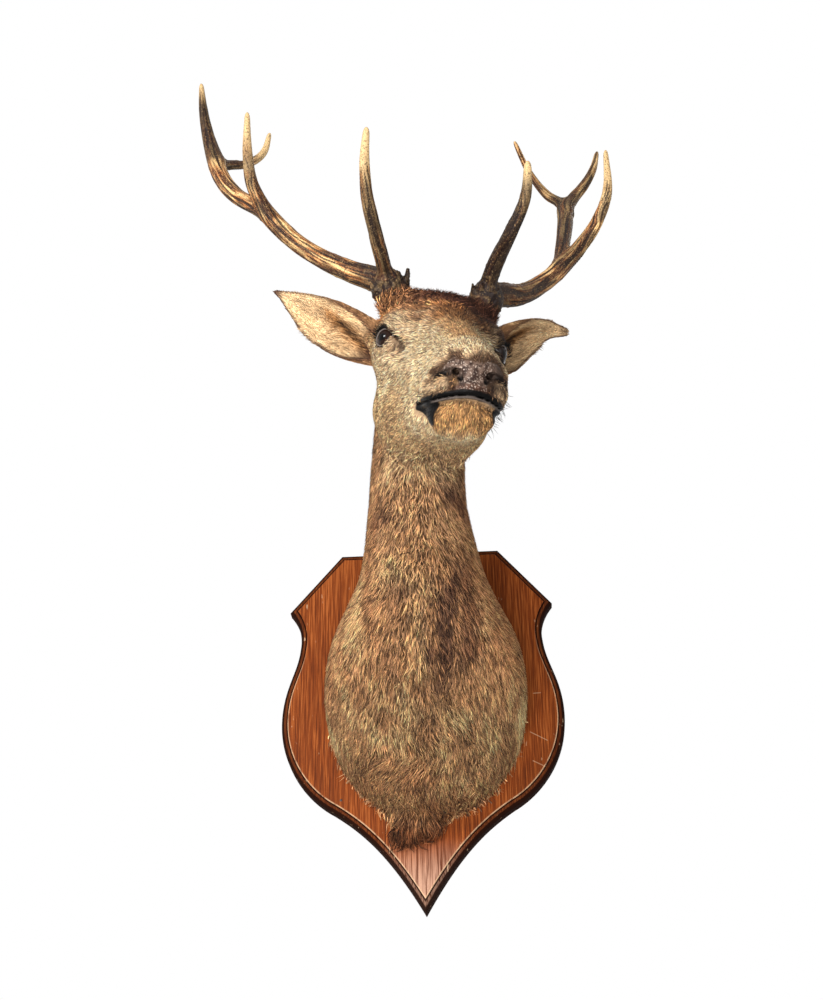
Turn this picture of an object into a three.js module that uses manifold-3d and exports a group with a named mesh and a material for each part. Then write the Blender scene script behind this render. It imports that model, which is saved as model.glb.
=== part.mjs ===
// Red deer stag head mount on its shield board, in millimetres, +Z up.
// The origin is the middle of the board's back face: +Y goes into the wall, -Y out into the room.
import * as THREE from 'three';
import { mergeVertices } from 'three/addons/utils/BufferGeometryUtils.js';
import Module from 'manifold-3d';

// ---------------------------------------------------------------- driving dimensions
const GAP = 0.3; // between neighbours that touch
const CUTTER = 900; // half size of the blocks that part one body from the next
const vec = (x, y, z) => new THREE.Vector3(x, y, z);
const radians = THREE.MathUtils.degToRad;

const BOARD = {
  thickness: 26,
  topHalf: 115, topZ: 262,
  shoulderHalf: 190.5, shoulderZ: 174,
  waistHalf: 174.5, waistZ: 116,
  bellyHalf: 199.5, bellyZ: 2,
  turnHalf: 125, turnZ: -128, // where the lower edge turns from convex to hollow
  tipZ: -271,
  mouldStart: 15, mouldInset: 8, // rounded edge
  filletInset: 9.5, filletStep: 2, // small step up to the face
  curveSteps: 6, mouldSteps: 3,
};
const HANGER = {
  z: 190, half: 34, height: 26, sheet: 2, pocket: 6,
  eyeRadius: 9, slotHalf: 3.75, slotTop: 4, screwAside: 24, screwRadius: 3.2,
};

// Head axes: x forward along the face, y to the stag's left, z up, from the middle of the eyes.
const HEAD = { middle: vec(57, -474, 327), turnDeg: 14, noseDownDeg: 27, leanDeg: -3 };
const EYE = { radius: 17.5, forward: 2, aside: 64, up: 0, sides: 12, rings: 8 };
const MOUTH = { cornerX: 152, cornerZ: -87, slope: 0.11, jawStart: 66, muzzleStart: 118 };

// Neck stations from inside the board to inside the skull: middle, half width, half depth.
const NECK = [
  { at: vec(5, 30, 36), width: 144, depth: 192 },
  { at: vec(7, -50, 46), width: 143, depth: 190 },
  { at: vec(9, -115, 80), width: 128, depth: 160 },
  { at: vec(11, -175, 155), width: 86, depth: 132 },
  { at: vec(10, -228, 240), width: 68, depth: 104 },
  { at: vec(18, -280, 325), width: 63, depth: 88 },
  { at: vec(32, -335, 392), width: 58, depth: 72 },
];
const NECK_EGG = 0.06; // how much wider a section is at the nape than at the throat
const NECK_SAMPLES = 48;
const CHEST_TAB = { at: vec(-8, -36, -148), half: vec(30, 17, 34), round: 7, blend: 26, topZ: -118 };
const HEAD_BLEND = 46; // how widely the head runs into the neck
const NECK_CUT = { y: -205, z: 185, tiltDeg: 42 }; // where the neck is parted into two lengths
const HEAD_CUT = { x: -112, tiltDeg: 22 }; // where the head is parted from the neck

const CELL = { head: 16.8, muzzle: 13.8, neck: 30, tab: 15 }; // mesh spacing on each part
const CUT_GROWTH = 0.5; // how much a body is grown before its neighbour is cut by it

const EAR = {
  spine: [vec(-86, 50, 0), vec(-106, 108, 19), vec(-132, 160, 37), vec(-176, 206, 60)],
  halfWidths: [20, 25, 29, 30, 28, 23, 14, 4],
  cupDegrees: [150, 128, 104, 86, 72, 60, 46, 30],
  facing: vec(0.86, 0.28, -0.3), // the side that the hollow opens to
  liftDeg: { right: 0, left: 5.5 }, // the left ear is held a little higher
  stations: 9, arc: 7, thick: 9, tipThick: 4.5,
};
const ANTLER = { sides: 8, steps: 8, beamSteps: 11, burrFlare: 8, burrMiddle: 29.5, burrSpread: 7.4 };

const FINISH = {
  mahogany: { color: 0x7f4224, roughness: 0.45, metalness: 0 },
  steel: { color: 0x8b8b88, roughness: 0.4, metalness: 1 },
  faceCoat: { color: 0xc4a17a, roughness: 0.95, metalness: 0 },
  neckCoat: { color: 0x927357, roughness: 0.95, metalness: 0 },
  earCoat: { color: 0xc9a276, roughness: 0.95, metalness: 0 },
  antler: { color: 0x9a7446, roughness: 0.6, metalness: 0 },
  eyeGlass: { color: 0x120c09, roughness: 0.05, metalness: 0 },
};

const wasm = await Module();
wasm.setup();

// ---------------------------------------------------------------- solids and cuts
function solidOf(geometry) {
  const bare = geometry.clone();
  bare.deleteAttribute('normal');
  bare.deleteAttribute('uv');
  const merged = mergeVertices(bare, 1e-3);
  return new wasm.Manifold(new wasm.Mesh({
    numProp: 3,
    vertProperties: new Float32Array(merged.attributes.position.array),
    triVerts: new Uint32Array(merged.index.array),
  }));
}

function geometryOf(solid) {
  const mesh = solid.getMesh();
  const geometry = new THREE.BufferGeometry();
  geometry.setAttribute('position', new THREE.BufferAttribute(mesh.vertProperties, 3));
  geometry.setIndex(largestPiece(mesh.triVerts));
  return geometry;
}

// The triangles of the largest connected piece, which leaves out the crumbs of a cut.
function largestPiece(triangles) {
  const parent = new Map();
  const rootOf = (v) => {
    let root = v;
    while (parent.get(root) !== root) root = parent.get(root);
    parent.set(v, root);
    return root;
  };
  for (const v of triangles) if (!parent.has(v)) parent.set(v, v);
  for (let i = 0; i < triangles.length; i += 3) {
    parent.set(rootOf(triangles[i + 1]), rootOf(triangles[i]));
    parent.set(rootOf(triangles[i + 2]), rootOf(triangles[i]));
  }
  const pieces = new Map();
  for (let i = 0; i < triangles.length; i += 3) {
    const root = rootOf(triangles[i]);
    if (!pieces.has(root)) pieces.set(root, []);
    pieces.get(root).push(triangles[i], triangles[i + 1], triangles[i + 2]);
  }
  return [...pieces.values()].sort((a, b) => b.length - a.length)[0];
}

function positionsOf(points) {
  return new THREE.Float32BufferAttribute(points.flatMap((p) => p.toArray()), 3);
}

function addMesh(group, name, geometry, finish) {
  geometry.computeVertexNormals();
  const mesh = new THREE.Mesh(geometry, new THREE.MeshStandardMaterial(FINISH[finish]));
  mesh.name = name;
  group.add(mesh);
}

// A block whose lower face passes through `point`, square to `normal`.
function blockBeyond(point, normal) {
  const block = new THREE.BoxGeometry(2 * CUTTER, 2 * CUTTER, CUTTER);
  block.translate(0, 0, CUTTER / 2);
  const turn = new THREE.Quaternion().setFromUnitVectors(vec(0, 0, 1), normal.clone().normalize());
  block.applyQuaternion(turn);
  block.translate(point.x, point.y, point.z);
  return solidOf(block);
}

function boxSolid(low, high) {
  const size = high.clone().sub(low);
  const box = new THREE.BoxGeometry(size.x, size.y, size.z);
  const middle = high.clone().add(low).multiplyScalar(0.5);
  box.translate(middle.x, middle.y, middle.z);
  return solidOf(box);
}

// ---------------------------------------------------------------- fields of rounded shapes
// Each field is negative inside, positive outside and close to a distance near the surface.
function ellipsoid(at, radii) {
  const least = Math.min(radii.x, radii.y, radii.z);
  return (p) => {
    const x = (p.x - at.x) / radii.x;
    const y = (p.y - at.y) / radii.y;
    const z = (p.z - at.z) / radii.z;
    const reach = Math.hypot(x, y, z);
    const slope = Math.hypot(x / radii.x, y / radii.y, z / radii.z);
    return slope > 0 ? reach * (reach - 1) / slope : -least;
  };
}

function taper(from, to, startRadius, endRadius) {
  const axis = to.clone().sub(from);
  const lengthSquared = axis.lengthSq();
  const along = vec(0, 0, 0);
  return (p) => {
    const t = THREE.MathUtils.clamp(along.copy(p).sub(from).dot(axis) / lengthSquared, 0, 1);
    along.copy(from).addScaledVector(axis, t);
    return p.distanceTo(along) - THREE.MathUtils.lerp(startRadius, endRadius, t);
  };
}

function roundedBox(at, half, round) {
  return (p) => {
    const x = Math.abs(p.x - at.x) - half.x + round;
    const y = Math.abs(p.y - at.y) - half.y + round;
    const z = Math.abs(p.z - at.z) - half.z + round;
    const outside = Math.hypot(Math.max(x, 0), Math.max(y, 0), Math.max(z, 0));
    return outside + Math.min(Math.max(x, y, z), 0) - round;
  };
}

function blend(a, b, width) {
  const h = Math.max(width - Math.abs(a - b), 0) / width;
  return Math.min(a, b) - h * h * width / 4;
}

function carve(a, b, width) {
  return -blend(-a, b, width);
}

// The same shape on both sides of the head.
const bothSides = (field) => {
  const mirrored = vec(0, 0, 0);
  return (p) => field(mirrored.set(p.x, Math.abs(p.y), p.z));
};

// ---------------------------------------------------------------- head in its own axes
// Each entry is a field and the width over which it blends into the ones before it.
const SKULL_SHAPES = [
  [ellipsoid(vec(-70, 0, 2), vec(84, 66, 64)), 1], // brain case
  [ellipsoid(vec(-16, 0, 18), vec(64, 70, 36)), 22], // forehead
  [ellipsoid(vec(-64, 0, 52), vec(40, 58, 26)), 18], // crown and forelock
  [bothSides(ellipsoid(vec(-8, 58, 12), vec(36, 23, 25))), 18], // brow over the eye
  [bothSides(ellipsoid(vec(-6, 58, -18), vec(38, 20, 22))), 18], // rim under the eye
  [bothSides(ellipsoid(vec(-34, 60, -2), vec(26, 19, 28))), 14], // rim behind the eye
  [bothSides(taper(vec(-58, 58, -14), vec(76, 38, -42), 20, 14)), 20], // cheek bone
  [taper(vec(-10, 0, 16), vec(182, 0, -34), 39, 27), 28], // bridge of the nose
  [taper(vec(40, 0, -44), vec(178, 0, -60), 48, 39), 26], // upper jaw
  [ellipsoid(vec(186, 0, -44), vec(46, 38, 32)), 18], // nose
  [ellipsoid(vec(210, 0, -42), vec(24, 30, 26)), 12], // front of the nose
  [bothSides(ellipsoid(vec(204, 27, -42), vec(24, 17, 20))), 10], // wing of the nostril
  [bothSides(ellipsoid(vec(178, 28, -70), vec(46, 23, 19))), 12], // upper lip
  [ellipsoid(vec(208, 0, -66), vec(25, 28, 19)), 12], // lip under the nose
  [bothSides(ellipsoid(vec(-36, 40, -62), vec(60, 28, 58))), 28], // chewing muscle
  [taper(vec(-40, 0, -86), vec(182, 0, -93), 48, 32), 22], // lower jaw
  [ellipsoid(vec(184, 0, -98), vec(34, 37, 24)), 14], // chin
  [bothSides(taper(vec(-60, 40, 36), vec(-72, 58, 60), 27, 23)), 18], // stem under the antler
  [bothSides(taper(vec(-40, 34, -86), vec(110, 22, -90), 34, 27)), 20], // side of the lower jaw
  [ellipsoid(vec(30, 0, -100), vec(84, 54, 31)), 22], // skin between the jaws
  [bothSides(taper(vec(28, 26, -106), vec(-30, 26, -122), 28, 30)), 20], // hair under the throat
  [bothSides(taper(vec(-88, 48, 6), vec(-110, 66, 13), 34, 24)), 20], // root of the ear
];

const SKULL_HOLLOWS = [
  [bothSides(ellipsoid(vec(36, 66, -10), vec(28, 9, 10))), 14], // tear pit in front of the eye
];

function skullField(p) {
  let value = Infinity;
  for (const [shape, width] of SKULL_SHAPES) {
    const next = shape(p);
    value = value === Infinity ? next : blend(value, next, width);
  }
  for (const [shape, width] of SKULL_HOLLOWS) value = carve(value, shape(p), width);
  return value;
}

// ---------------------------------------------------------------- neck
function neckSampler() {
  const spine = new THREE.CatmullRomCurve3(NECK.map((station) => station.at), false, 'centripetal');
  const pairs = NECK.map((station) => vec(station.width, station.depth, 0));
  const sizes = new THREE.CatmullRomCurve3(pairs, false, 'centripetal');
  const samples = [];
  for (let i = 0; i <= NECK_SAMPLES; i += 1) {
    const t = i / NECK_SAMPLES;
    const along = spine.getTangent(t);
    const size = sizes.getPoint(t);
    const across = vec(1, 0, 0).addScaledVector(along, -along.x).normalize();
    const nape = across.clone().cross(along).normalize();
    samples.push({ at: spine.getPoint(t), along, across, nape, width: size.x, depth: size.y });
  }
  return samples;
}

const NECK_SECTIONS = neckSampler();

// The section whose plane holds `p`, worked out between the two samples on either side of it.
function sectionAt(p) {
  const runs = NECK_SECTIONS.map((section) => p.clone().sub(section.at).dot(section.along));
  let chosen = { low: runs[0] < 0 ? 0 : NECK_SAMPLES, share: 0, away: Infinity };
  for (let i = 0; i < NECK_SAMPLES; i += 1) {
    if (runs[i] < 0 || runs[i + 1] >= 0) continue;
    const away = p.distanceTo(NECK_SECTIONS[i].at);
    if (away < chosen.away) chosen = { low: i, share: runs[i] / (runs[i] - runs[i + 1]), away };
  }
  const low = NECK_SECTIONS[chosen.low];
  const high = NECK_SECTIONS[Math.min(chosen.low + 1, NECK_SAMPLES)];
  return {
    at: low.at.clone().lerp(high.at, chosen.share),
    along: low.along,
    across: low.across.clone().lerp(high.across, chosen.share),
    nape: low.nape.clone().lerp(high.nape, chosen.share),
    width: THREE.MathUtils.lerp(low.width, high.width, chosen.share),
    depth: THREE.MathUtils.lerp(low.depth, high.depth, chosen.share),
    past: chosen.away === Infinity ? runs[chosen.low] : 0,
  };
}

// About the distance from the neck: an egg-shaped section that is wider towards the nape.
function neckField(p) {
  const section = sectionAt(p);
  const offset = p.clone().sub(section.at);
  const up = offset.dot(section.nape) / section.depth;
  const width = section.width * (1 + NECK_EGG * THREE.MathUtils.clamp(up, -1.2, 1.2));
  const across = offset.dot(section.across) / width;
  const past = section.past / section.width;
  const reach = Math.hypot(across, up, past);
  const slope = Math.hypot(across / width, up / section.depth, past / section.width);
  return slope > 0 ? reach * (reach - 1) / slope : -section.width;
}

// ---------------------------------------------------------------- flesh in the mount's axes
const headGroup = new THREE.Group();
headGroup.position.copy(HEAD.middle);
headGroup.rotation.set(
  radians(HEAD.leanDeg),
  radians(HEAD.noseDownDeg),
  radians(HEAD.turnDeg - 90),
  'ZYX',
);
headGroup.updateMatrixWorld(true);
const toMount = headGroup.matrixWorld.clone();
const toHead = toMount.clone().invert();

const tabField = roundedBox(CHEST_TAB.at, CHEST_TAB.half, CHEST_TAB.round);

function fleshField(p) {
  const head = skullField(p.clone().applyMatrix4(toHead));
  const neck = blend(neckField(p), tabField(p), CHEST_TAB.blend);
  return blend(head, neck, HEAD_BLEND);
}

const fleshOnHead = (p) => fleshField(p.clone().applyMatrix4(toMount));

// ---------------------------------------------------------------- mesh of a field
// Corners of a cell are numbered by three bits, and an edge joins two that differ in one bit.
const EDGES = [1, 2, 4].flatMap((bit) => (
  [0, 1, 2, 3, 4, 5, 6, 7].filter((corner) => !(corner & bit)).map((corner) => [corner, corner | bit])
));

// The field cut off flat just inside the block from `low` to `high`, so that its surface closes.
function within(field, low, high, margin) {
  return (p) => Math.max(
    field(p),
    low.x + margin - p.x, low.y + margin - p.y, low.z + margin - p.z,
    p.x - high.x + margin, p.y - high.y + margin, p.z - high.z + margin,
  );
}

function meshOfField(shape, low, high, cell) {
  const field = within(shape, low, high, 1.5 * cell);
  const count = high.clone().sub(low).divideScalar(cell).ceil().addScalar(1);
  const at = (i, j, k) => vec(low.x + i * cell, low.y + j * cell, low.z + k * cell);
  const slot = (i, j, k) => (k * count.y + j) * count.x + i;
  const values = new Float64Array(count.x * count.y * count.z);
  for (let k = 0; k < count.z; k += 1) {
    for (let j = 0; j < count.y; j += 1) {
      for (let i = 0; i < count.x; i += 1) values[slot(i, j, k)] = field(at(i, j, k));
    }
  }
  const points = [];
  const pointOfCell = new Map();
  for (let k = 0; k < count.z - 1; k += 1) {
    for (let j = 0; j < count.y - 1; j += 1) {
      for (let i = 0; i < count.x - 1; i += 1) {
        const corner = (c) => [i + (c & 1), j + ((c >> 1) & 1), k + ((c >> 2) & 1)];
        const sum = vec(0, 0, 0);
        let crossings = 0;
        for (const [a, b] of EDGES) {
          const va = values[slot(...corner(a))];
          const vb = values[slot(...corner(b))];
          if ((va < 0) === (vb < 0)) continue;
          sum.add(at(...corner(a)).lerp(at(...corner(b)), va / (va - vb)));
          crossings += 1;
        }
        if (!crossings) continue;
        pointOfCell.set(slot(i, j, k), points.length);
        points.push(settle(field, sum.divideScalar(crossings), cell));
      }
    }
  }
  const faces = [];
  const steps = [[1, 0, 0], [0, 1, 0], [0, 0, 1]];
  for (let k = 1; k < count.z - 1; k += 1) {
    for (let j = 1; j < count.y - 1; j += 1) {
      for (let i = 1; i < count.x - 1; i += 1) {
        const inside = values[slot(i, j, k)] < 0;
        steps.forEach((step, axis) => {
          const beyond = values[slot(i + step[0], j + step[1], k + step[2])] < 0;
          if (inside === beyond) return;
          const u = steps[(axis + 1) % 3];
          const v = steps[(axis + 2) % 3];
          const cellAt = (a, b) => pointOfCell.get(slot(
            i - a * u[0] - b * v[0], j - a * u[1] - b * v[1], k - a * u[2] - b * v[2],
          ));
          const quad = [cellAt(1, 1), cellAt(0, 1), cellAt(0, 0), cellAt(1, 0)];
          if (!inside) quad.reverse();
          faces.push(quad[0], quad[1], quad[2], quad[0], quad[2], quad[3]);
        });
      }
    }
  }
  const geometry = new THREE.BufferGeometry();
  geometry.setAttribute('position', positionsOf(points));
  geometry.setIndex(faces);
  return geometry;
}

// The same mesh with each point moved out by `grow`.
function swollen(geometry, grow) {
  const bigger = geometry.clone();
  bigger.computeVertexNormals();
  const { position, normal } = bigger.attributes;
  for (let i = 0; i < position.count; i += 1) {
    const out = vec(0, 0, 0).fromBufferAttribute(normal, i);
    const point = vec(0, 0, 0).fromBufferAttribute(position, i).addScaledVector(out, grow);
    position.setXYZ(i, point.x, point.y, point.z);
  }
  return bigger;
}

// Moves a point onto the field's zero surface, by at most half a cell.
function settle(field, point, cell) {
  const start = point.clone();
  const h = 0.5;
  for (let turn = 0; turn < 3; turn += 1) {
    const value = field(point);
    const slope = vec(
      field(point.clone().add(vec(h, 0, 0))) - value,
      field(point.clone().add(vec(0, h, 0))) - value,
      field(point.clone().add(vec(0, 0, h))) - value,
    ).divideScalar(h);
    const steepness = slope.lengthSq();
    if (steepness < 1e-6) break;
    point.addScaledVector(slope, -value / steepness);
    if (point.distanceTo(start) > cell / 2) {
      point.copy(start.clone().lerp(point, cell / 2 / point.distanceTo(start)));
    }
  }
  return point;
}

// ---------------------------------------------------------------- lofts
// Joins rings of equal length into one closed body with a middle point at each end.
function loft(rings) {
  const sides = rings[0].length;
  const points = rings.flat();
  const middle = (ring) => ring.reduce((sum, p) => sum.add(p), vec(0, 0, 0)).divideScalar(sides);
  const start = points.push(middle(rings[0])) - 1;
  const end = points.push(middle(rings[rings.length - 1])) - 1;
  const faces = [];
  for (let k = 0; k < sides; k += 1) {
    const next = (k + 1) % sides;
    faces.push(start, next, k);
    for (let r = 0; r < rings.length - 1; r += 1) {
      const a = r * sides + k;
      const b = r * sides + next;
      faces.push(a, b, b + sides, a, b + sides, a + sides);
    }
    const last = (rings.length - 1) * sides;
    faces.push(end, last + k, last + next);
  }
  const geometry = new THREE.BufferGeometry();
  geometry.setAttribute('position', positionsOf(points));
  geometry.setIndex(faces);
  return geometry;
}

// ---------------------------------------------------------------- shield board
function boardOutline() {
  const b = BOARD;
  const half = new THREE.Path();
  half.moveTo(b.topHalf, b.topZ);
  half.lineTo(b.shoulderHalf, b.shoulderZ);
  half.quadraticCurveTo(b.waistHalf - 5, b.waistZ + 32, b.waistHalf, b.waistZ);
  half.bezierCurveTo(b.waistHalf + 4, b.waistZ - 38, b.bellyHalf, b.bellyZ + 54, b.bellyHalf, b.bellyZ);
  half.bezierCurveTo(b.bellyHalf, b.bellyZ - 57, b.turnHalf + 42, b.turnZ + 24, b.turnHalf, b.turnZ);
  half.bezierCurveTo(b.turnHalf - 37, b.turnZ - 24, 0.4 * b.turnHalf, 0.68 * b.tipZ, 0, b.tipZ);
  const right = half.getPoints(b.curveSteps);
  const left = right.slice(0, -1).reverse().map((p) => new THREE.Vector2(-p.x, p.y));
  return right.concat(left); // clockwise seen from the room
}

// The outline drawn in by `inset`, each point moved along the mitre of its two edges.
function insetOutline(outline, inset) {
  return outline.map((p, i) => {
    const before = outline[(i + outline.length - 1) % outline.length];
    const after = outline[(i + 1) % outline.length];
    const a = p.clone().sub(before).normalize();
    const b = after.clone().sub(p).normalize();
    const inwardA = new THREE.Vector2(a.y, -a.x);
    const inwardB = new THREE.Vector2(b.y, -b.x);
    const mitre = inwardA.clone().add(inwardB);
    return p.clone().addScaledVector(mitre, 2 * inset / mitre.lengthSq());
  });
}

function boardGeometry() {
  const b = BOARD;
  const outline = boardOutline();
  const filletZ = b.thickness - b.filletStep;
  const profile = [[0, 0], [0, b.mouldStart]];
  for (let i = 1; i <= b.mouldSteps; i += 1) {
    const angle = Math.PI / 2 * i / b.mouldSteps;
    const rise = (filletZ - b.mouldStart) * Math.sin(angle);
    profile.push([b.mouldInset * (1 - Math.cos(angle)), b.mouldStart + rise]);
  }
  profile.push([b.filletInset, filletZ], [b.filletInset, b.thickness]);
  const rings = profile.map(([inset, out]) => (
    insetOutline(outline, inset).map((p) => vec(p.x, -out, p.y))
  ));
  const points = rings.flat();
  const sides = outline.length;
  const faces = [];
  for (let r = 0; r < rings.length - 1; r += 1) {
    for (let k = 0; k < sides; k += 1) {
      const next = (k + 1) % sides;
      const a = r * sides + k;
      const c = r * sides + next;
      faces.push(a, c + sides, c, a, a + sides, c + sides);
    }
  }
  const flat = insetOutline(outline, 0);
  for (const [x, y, z] of THREE.ShapeUtils.triangulateShape(flat, [])) {
    const last = (rings.length - 1) * sides;
    faces.push(x, z, y, last + x, last + y, last + z);
  }
  const geometry = new THREE.BufferGeometry();
  geometry.setAttribute('position', positionsOf(points));
  geometry.setIndex(faces);
  return facingOut(geometry);
}

// Turns every face round where the body has come out inside out.
function facingOut(geometry) {
  if (solidOf(geometry).volume() > 0) return geometry;
  const index = geometry.index.array;
  for (let i = 0; i < index.length; i += 3) [index[i + 1], index[i + 2]] = [index[i + 2], index[i + 1]];
  return geometry;
}

function hangerPlate() {
  const h = HANGER;
  const drop = 3; // the keyhole's round end sits this much under the plate's middle
  const deep = 2 * h.sheet;
  let plate = boxSolid(
    vec(-h.half, -GAP - h.sheet, h.z - h.height / 2),
    vec(h.half, -GAP, h.z + h.height / 2),
  );
  const drilled = (x, z, radius, sides) => {
    const hole = new THREE.CylinderGeometry(radius, radius, 2 * deep, sides);
    hole.translate(x, -h.sheet, z);
    return solidOf(hole);
  };
  const slot = boxSolid(
    vec(-h.slotHalf, -2 * deep, h.z - drop),
    vec(h.slotHalf, deep, h.z + h.height / 2 - h.slotTop),
  );
  plate = plate.subtract(drilled(0, h.z - drop, h.eyeRadius, 24)).subtract(slot);
  for (const side of [-1, 1]) plate = plate.subtract(drilled(side * h.screwAside, h.z, h.screwRadius, 16));
  return plate;
}

function addBoard(group) {
  const h = HANGER;
  const pocket = boxSolid(
    vec(-h.half - GAP, -h.pocket, h.z - h.height / 2 - GAP),
    vec(h.half + GAP, 1, h.z + h.height / 2 + GAP),
  );
  const board = solidOf(boardGeometry()).subtract(pocket);
  addMesh(group, 'shield_board', geometryOf(board), 'mahogany');
  addMesh(group, 'hanger_plate', geometryOf(hangerPlate()), 'steel');
}

// ---------------------------------------------------------------- ears
const sampleList = (list, t) => {
  const x = t * (list.length - 1);
  const i = Math.min(Math.floor(x), list.length - 2);
  return THREE.MathUtils.lerp(list[i], list[i + 1], x - i);
};

// Left ear in head axes: a leaf-shaped cup, closed to a tube at its root.
function earGeometry() {
  const spine = new THREE.CatmullRomCurve3(EAR.spine, false, 'centripetal');
  const rings = [];
  for (let i = 0; i <= EAR.stations; i += 1) {
    const t = i / EAR.stations;
    const middle = spine.getPoint(t);
    const along = spine.getTangent(t);
    const open = EAR.facing.clone().addScaledVector(along, -along.dot(EAR.facing)).normalize();
    const up = open.clone().cross(along).normalize();
    const half = sampleList(EAR.halfWidths, t);
    const bend = radians(sampleList(EAR.cupDegrees, t));
    const thick = THREE.MathUtils.lerp(EAR.thick, EAR.tipThick, t);
    const radius = half / Math.sin(Math.min(bend, Math.PI / 2));
    const level = 0.5 * radius * (1 - Math.cos(bend)); // keeps the spine near the middle of the cup
    const wall = (c, grow) => {
      const angle = c * bend;
      return middle.clone()
        .addScaledVector(up, (radius + grow) * Math.sin(angle))
        .addScaledVector(open, level - (radius + grow) * Math.cos(angle));
    };
    const ring = [];
    for (let k = 0; k <= EAR.arc; k += 1) ring.push(wall(-1 + 2 * k / EAR.arc, thick / 2));
    for (let k = EAR.arc; k >= 0; k -= 1) ring.push(wall(-1 + 2 * k / EAR.arc, -thick / 2));
    rings.push(ring);
  }
  return facingOut(loft(rings));
}

// ---------------------------------------------------------------- antlers
// Centre lines in head axes, with the radius at the root, at the middle and near the end.
const ANTLERS = {
  right: {
    beam_lower: {
      line: [
        vec(-66, -52, 52), vec(-76, -68, 78), vec(-118, -114, 97),
        vec(-150, -149, 113), vec(-185, -192, 140), vec(-215, -233, 178),
      ],
      radii: [18, 13, 11],
    },
    beam_upper: {
      line: [
        vec(-210, -228, 171), vec(-265, -268, 202), vec(-305, -289, 231),
        vec(-340, -301, 266),
      ],
      radii: [10.5, 11, 12],
    },
    brow_tine: {
      line: [
        vec(-72, -68, 83), vec(-30, -94, 127), vec(6, -118, 174),
        vec(20, -128, 214), vec(25, -131, 253),
      ],
      radii: [9.5, 7, 2.6],
    },
    trez_tine: {
      line: [
        vec(-212, -229, 172), vec(-203, -251, 206), vec(-196, -262, 245),
        vec(-205, -269, 304),
      ],
      radii: [9, 7, 2.6],
    },
    outer_tine: {
      line: [
        vec(-334, -299, 259), vec(-360, -313, 296), vec(-378, -324, 332),
        vec(-385, -333, 379),
      ],
      radii: [9.5, 6, 2.6],
    },
    inner_tine: {
      line: [
        vec(-330, -290, 250), vec(-372, -255, 270), vec(-396, -230, 295),
        vec(-395, -225, 326),
      ],
      radii: [7.5, 6, 2.4],
    },
  },
  left: {
    beam_lower: {
      line: [
        vec(-66, 50, 54), vec(-76, 66, 82), vec(-118, 117, 99),
        vec(-155, 152, 123), vec(-200, 194, 169),
      ],
      radii: [18, 13, 11],
    },
    beam_upper: {
      line: [
        vec(-198, 187, 165), vec(-250, 199, 209), vec(-290, 208, 241),
        vec(-332, 215, 274),
      ],
      radii: [11, 11.5, 12.5],
    },
    brow_tine: {
      line: [
        vec(-72, 60, 86), vec(-38, 64, 126), vec(0, 70, 158),
        vec(25, 78, 201), vec(42, 72, 239),
      ],
      radii: [11, 8, 4],
    },
    trez_tine: {
      line: [
        vec(-196, 192, 166), vec(-205, 223, 211), vec(-194, 240, 260),
        vec(-205, 233, 332),
      ],
      radii: [10, 7, 2.6],
    },
    outer_tine: {
      line: [
        vec(-326, 215, 269), vec(-358, 245, 306), vec(-376, 262, 343),
        vec(-385, 267, 374),
      ],
      radii: [8, 5.5, 2.6],
    },
    inner_tine: {
      line: [
        vec(-326, 214, 269), vec(-364, 193, 289), vec(-388, 167, 327),
        vec(-400, 141, 373),
      ],
      radii: [8.5, 6, 2.4],
    },
  },
};
const GROWS_FROM = {
  beam_lower: [],
  brow_tine: ['beam_lower'],
  beam_upper: ['beam_lower'],
  trez_tine: ['beam_lower', 'beam_upper'],
  outer_tine: ['beam_upper'],
  inner_tine: ['beam_upper', 'outer_tine'],
};

// Radius at t along a limb; a tine closes to a rounded point over its last part.
function limbRadius(limb, pointed, t) {
  const shoulder = 0.96;
  const least = 0.3; // share of the radius left at the very tip
  const radius = sampleList(limb.radii, t);
  if (!pointed || t < shoulder) return radius;
  const past = (t - shoulder) / (1 - shoulder);
  return radius * Math.sqrt(Math.max(1 - past * past, least * least));
}

function limbGeometry(limb, name, grow) {
  const curve = new THREE.CatmullRomCurve3(limb.line, false, 'centripetal');
  const pointed = name.endsWith('tine');
  const steps = name === 'beam_lower' ? ANTLER.beamSteps : ANTLER.steps;
  const rings = [];
  let side = vec(0, 0, 1);
  for (let i = 0; i <= steps; i += 1) {
    const t = pointed ? pointedSpacing(i / steps) : i / steps;
    const along = curve.getTangent(t);
    side = side.clone().addScaledVector(along, -along.dot(side)).normalize();
    const other = along.clone().cross(side);
    const middle = curve.getPoint(t);
    const radius = limbRadius(limb, pointed, t);
    const flare = name === 'beam_lower' ? burrFlare(t * curve.getLength()) : 0;
    const ring = [];
    for (let k = 0; k < ANTLER.sides; k += 1) {
      const angle = 2 * Math.PI * k / ANTLER.sides;
      const reach = radius + flare + grow;
      ring.push(middle.clone()
        .addScaledVector(side, reach * Math.cos(angle))
        .addScaledVector(other, reach * Math.sin(angle)));
    }
    rings.push(ring);
  }
  return facingOut(loft(rings));
}

// Ring spacing that draws closer towards a tine's tip.
const TIP_CROWDING = 1.35;
const pointedSpacing = (share) => 1 - Math.pow(1 - share, TIP_CROWDING);

// The knobbly ring round the foot of the beam.
function burrFlare(run) {
  const away = (run - ANTLER.burrMiddle) / ANTLER.burrSpread;
  return ANTLER.burrFlare * Math.exp(-away * away);
}

function addAntler(group, side, headCutter) {
  const limbs = ANTLERS[side];
  const cutters = {};
  for (const [name, limb] of Object.entries(limbs)) {
    cutters[name] = solidOf(limbGeometry(limb, name, CUT_GROWTH));
  }
  for (const [name, limb] of Object.entries(limbs)) {
    let solid = solidOf(limbGeometry(limb, name, 0)).subtract(headCutter);
    for (const parent of GROWS_FROM[name]) solid = solid.subtract(cutters[parent]);
    addMesh(group, `antler_${side}_${name}`, geometryOf(solid), 'antler');
  }
}

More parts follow.
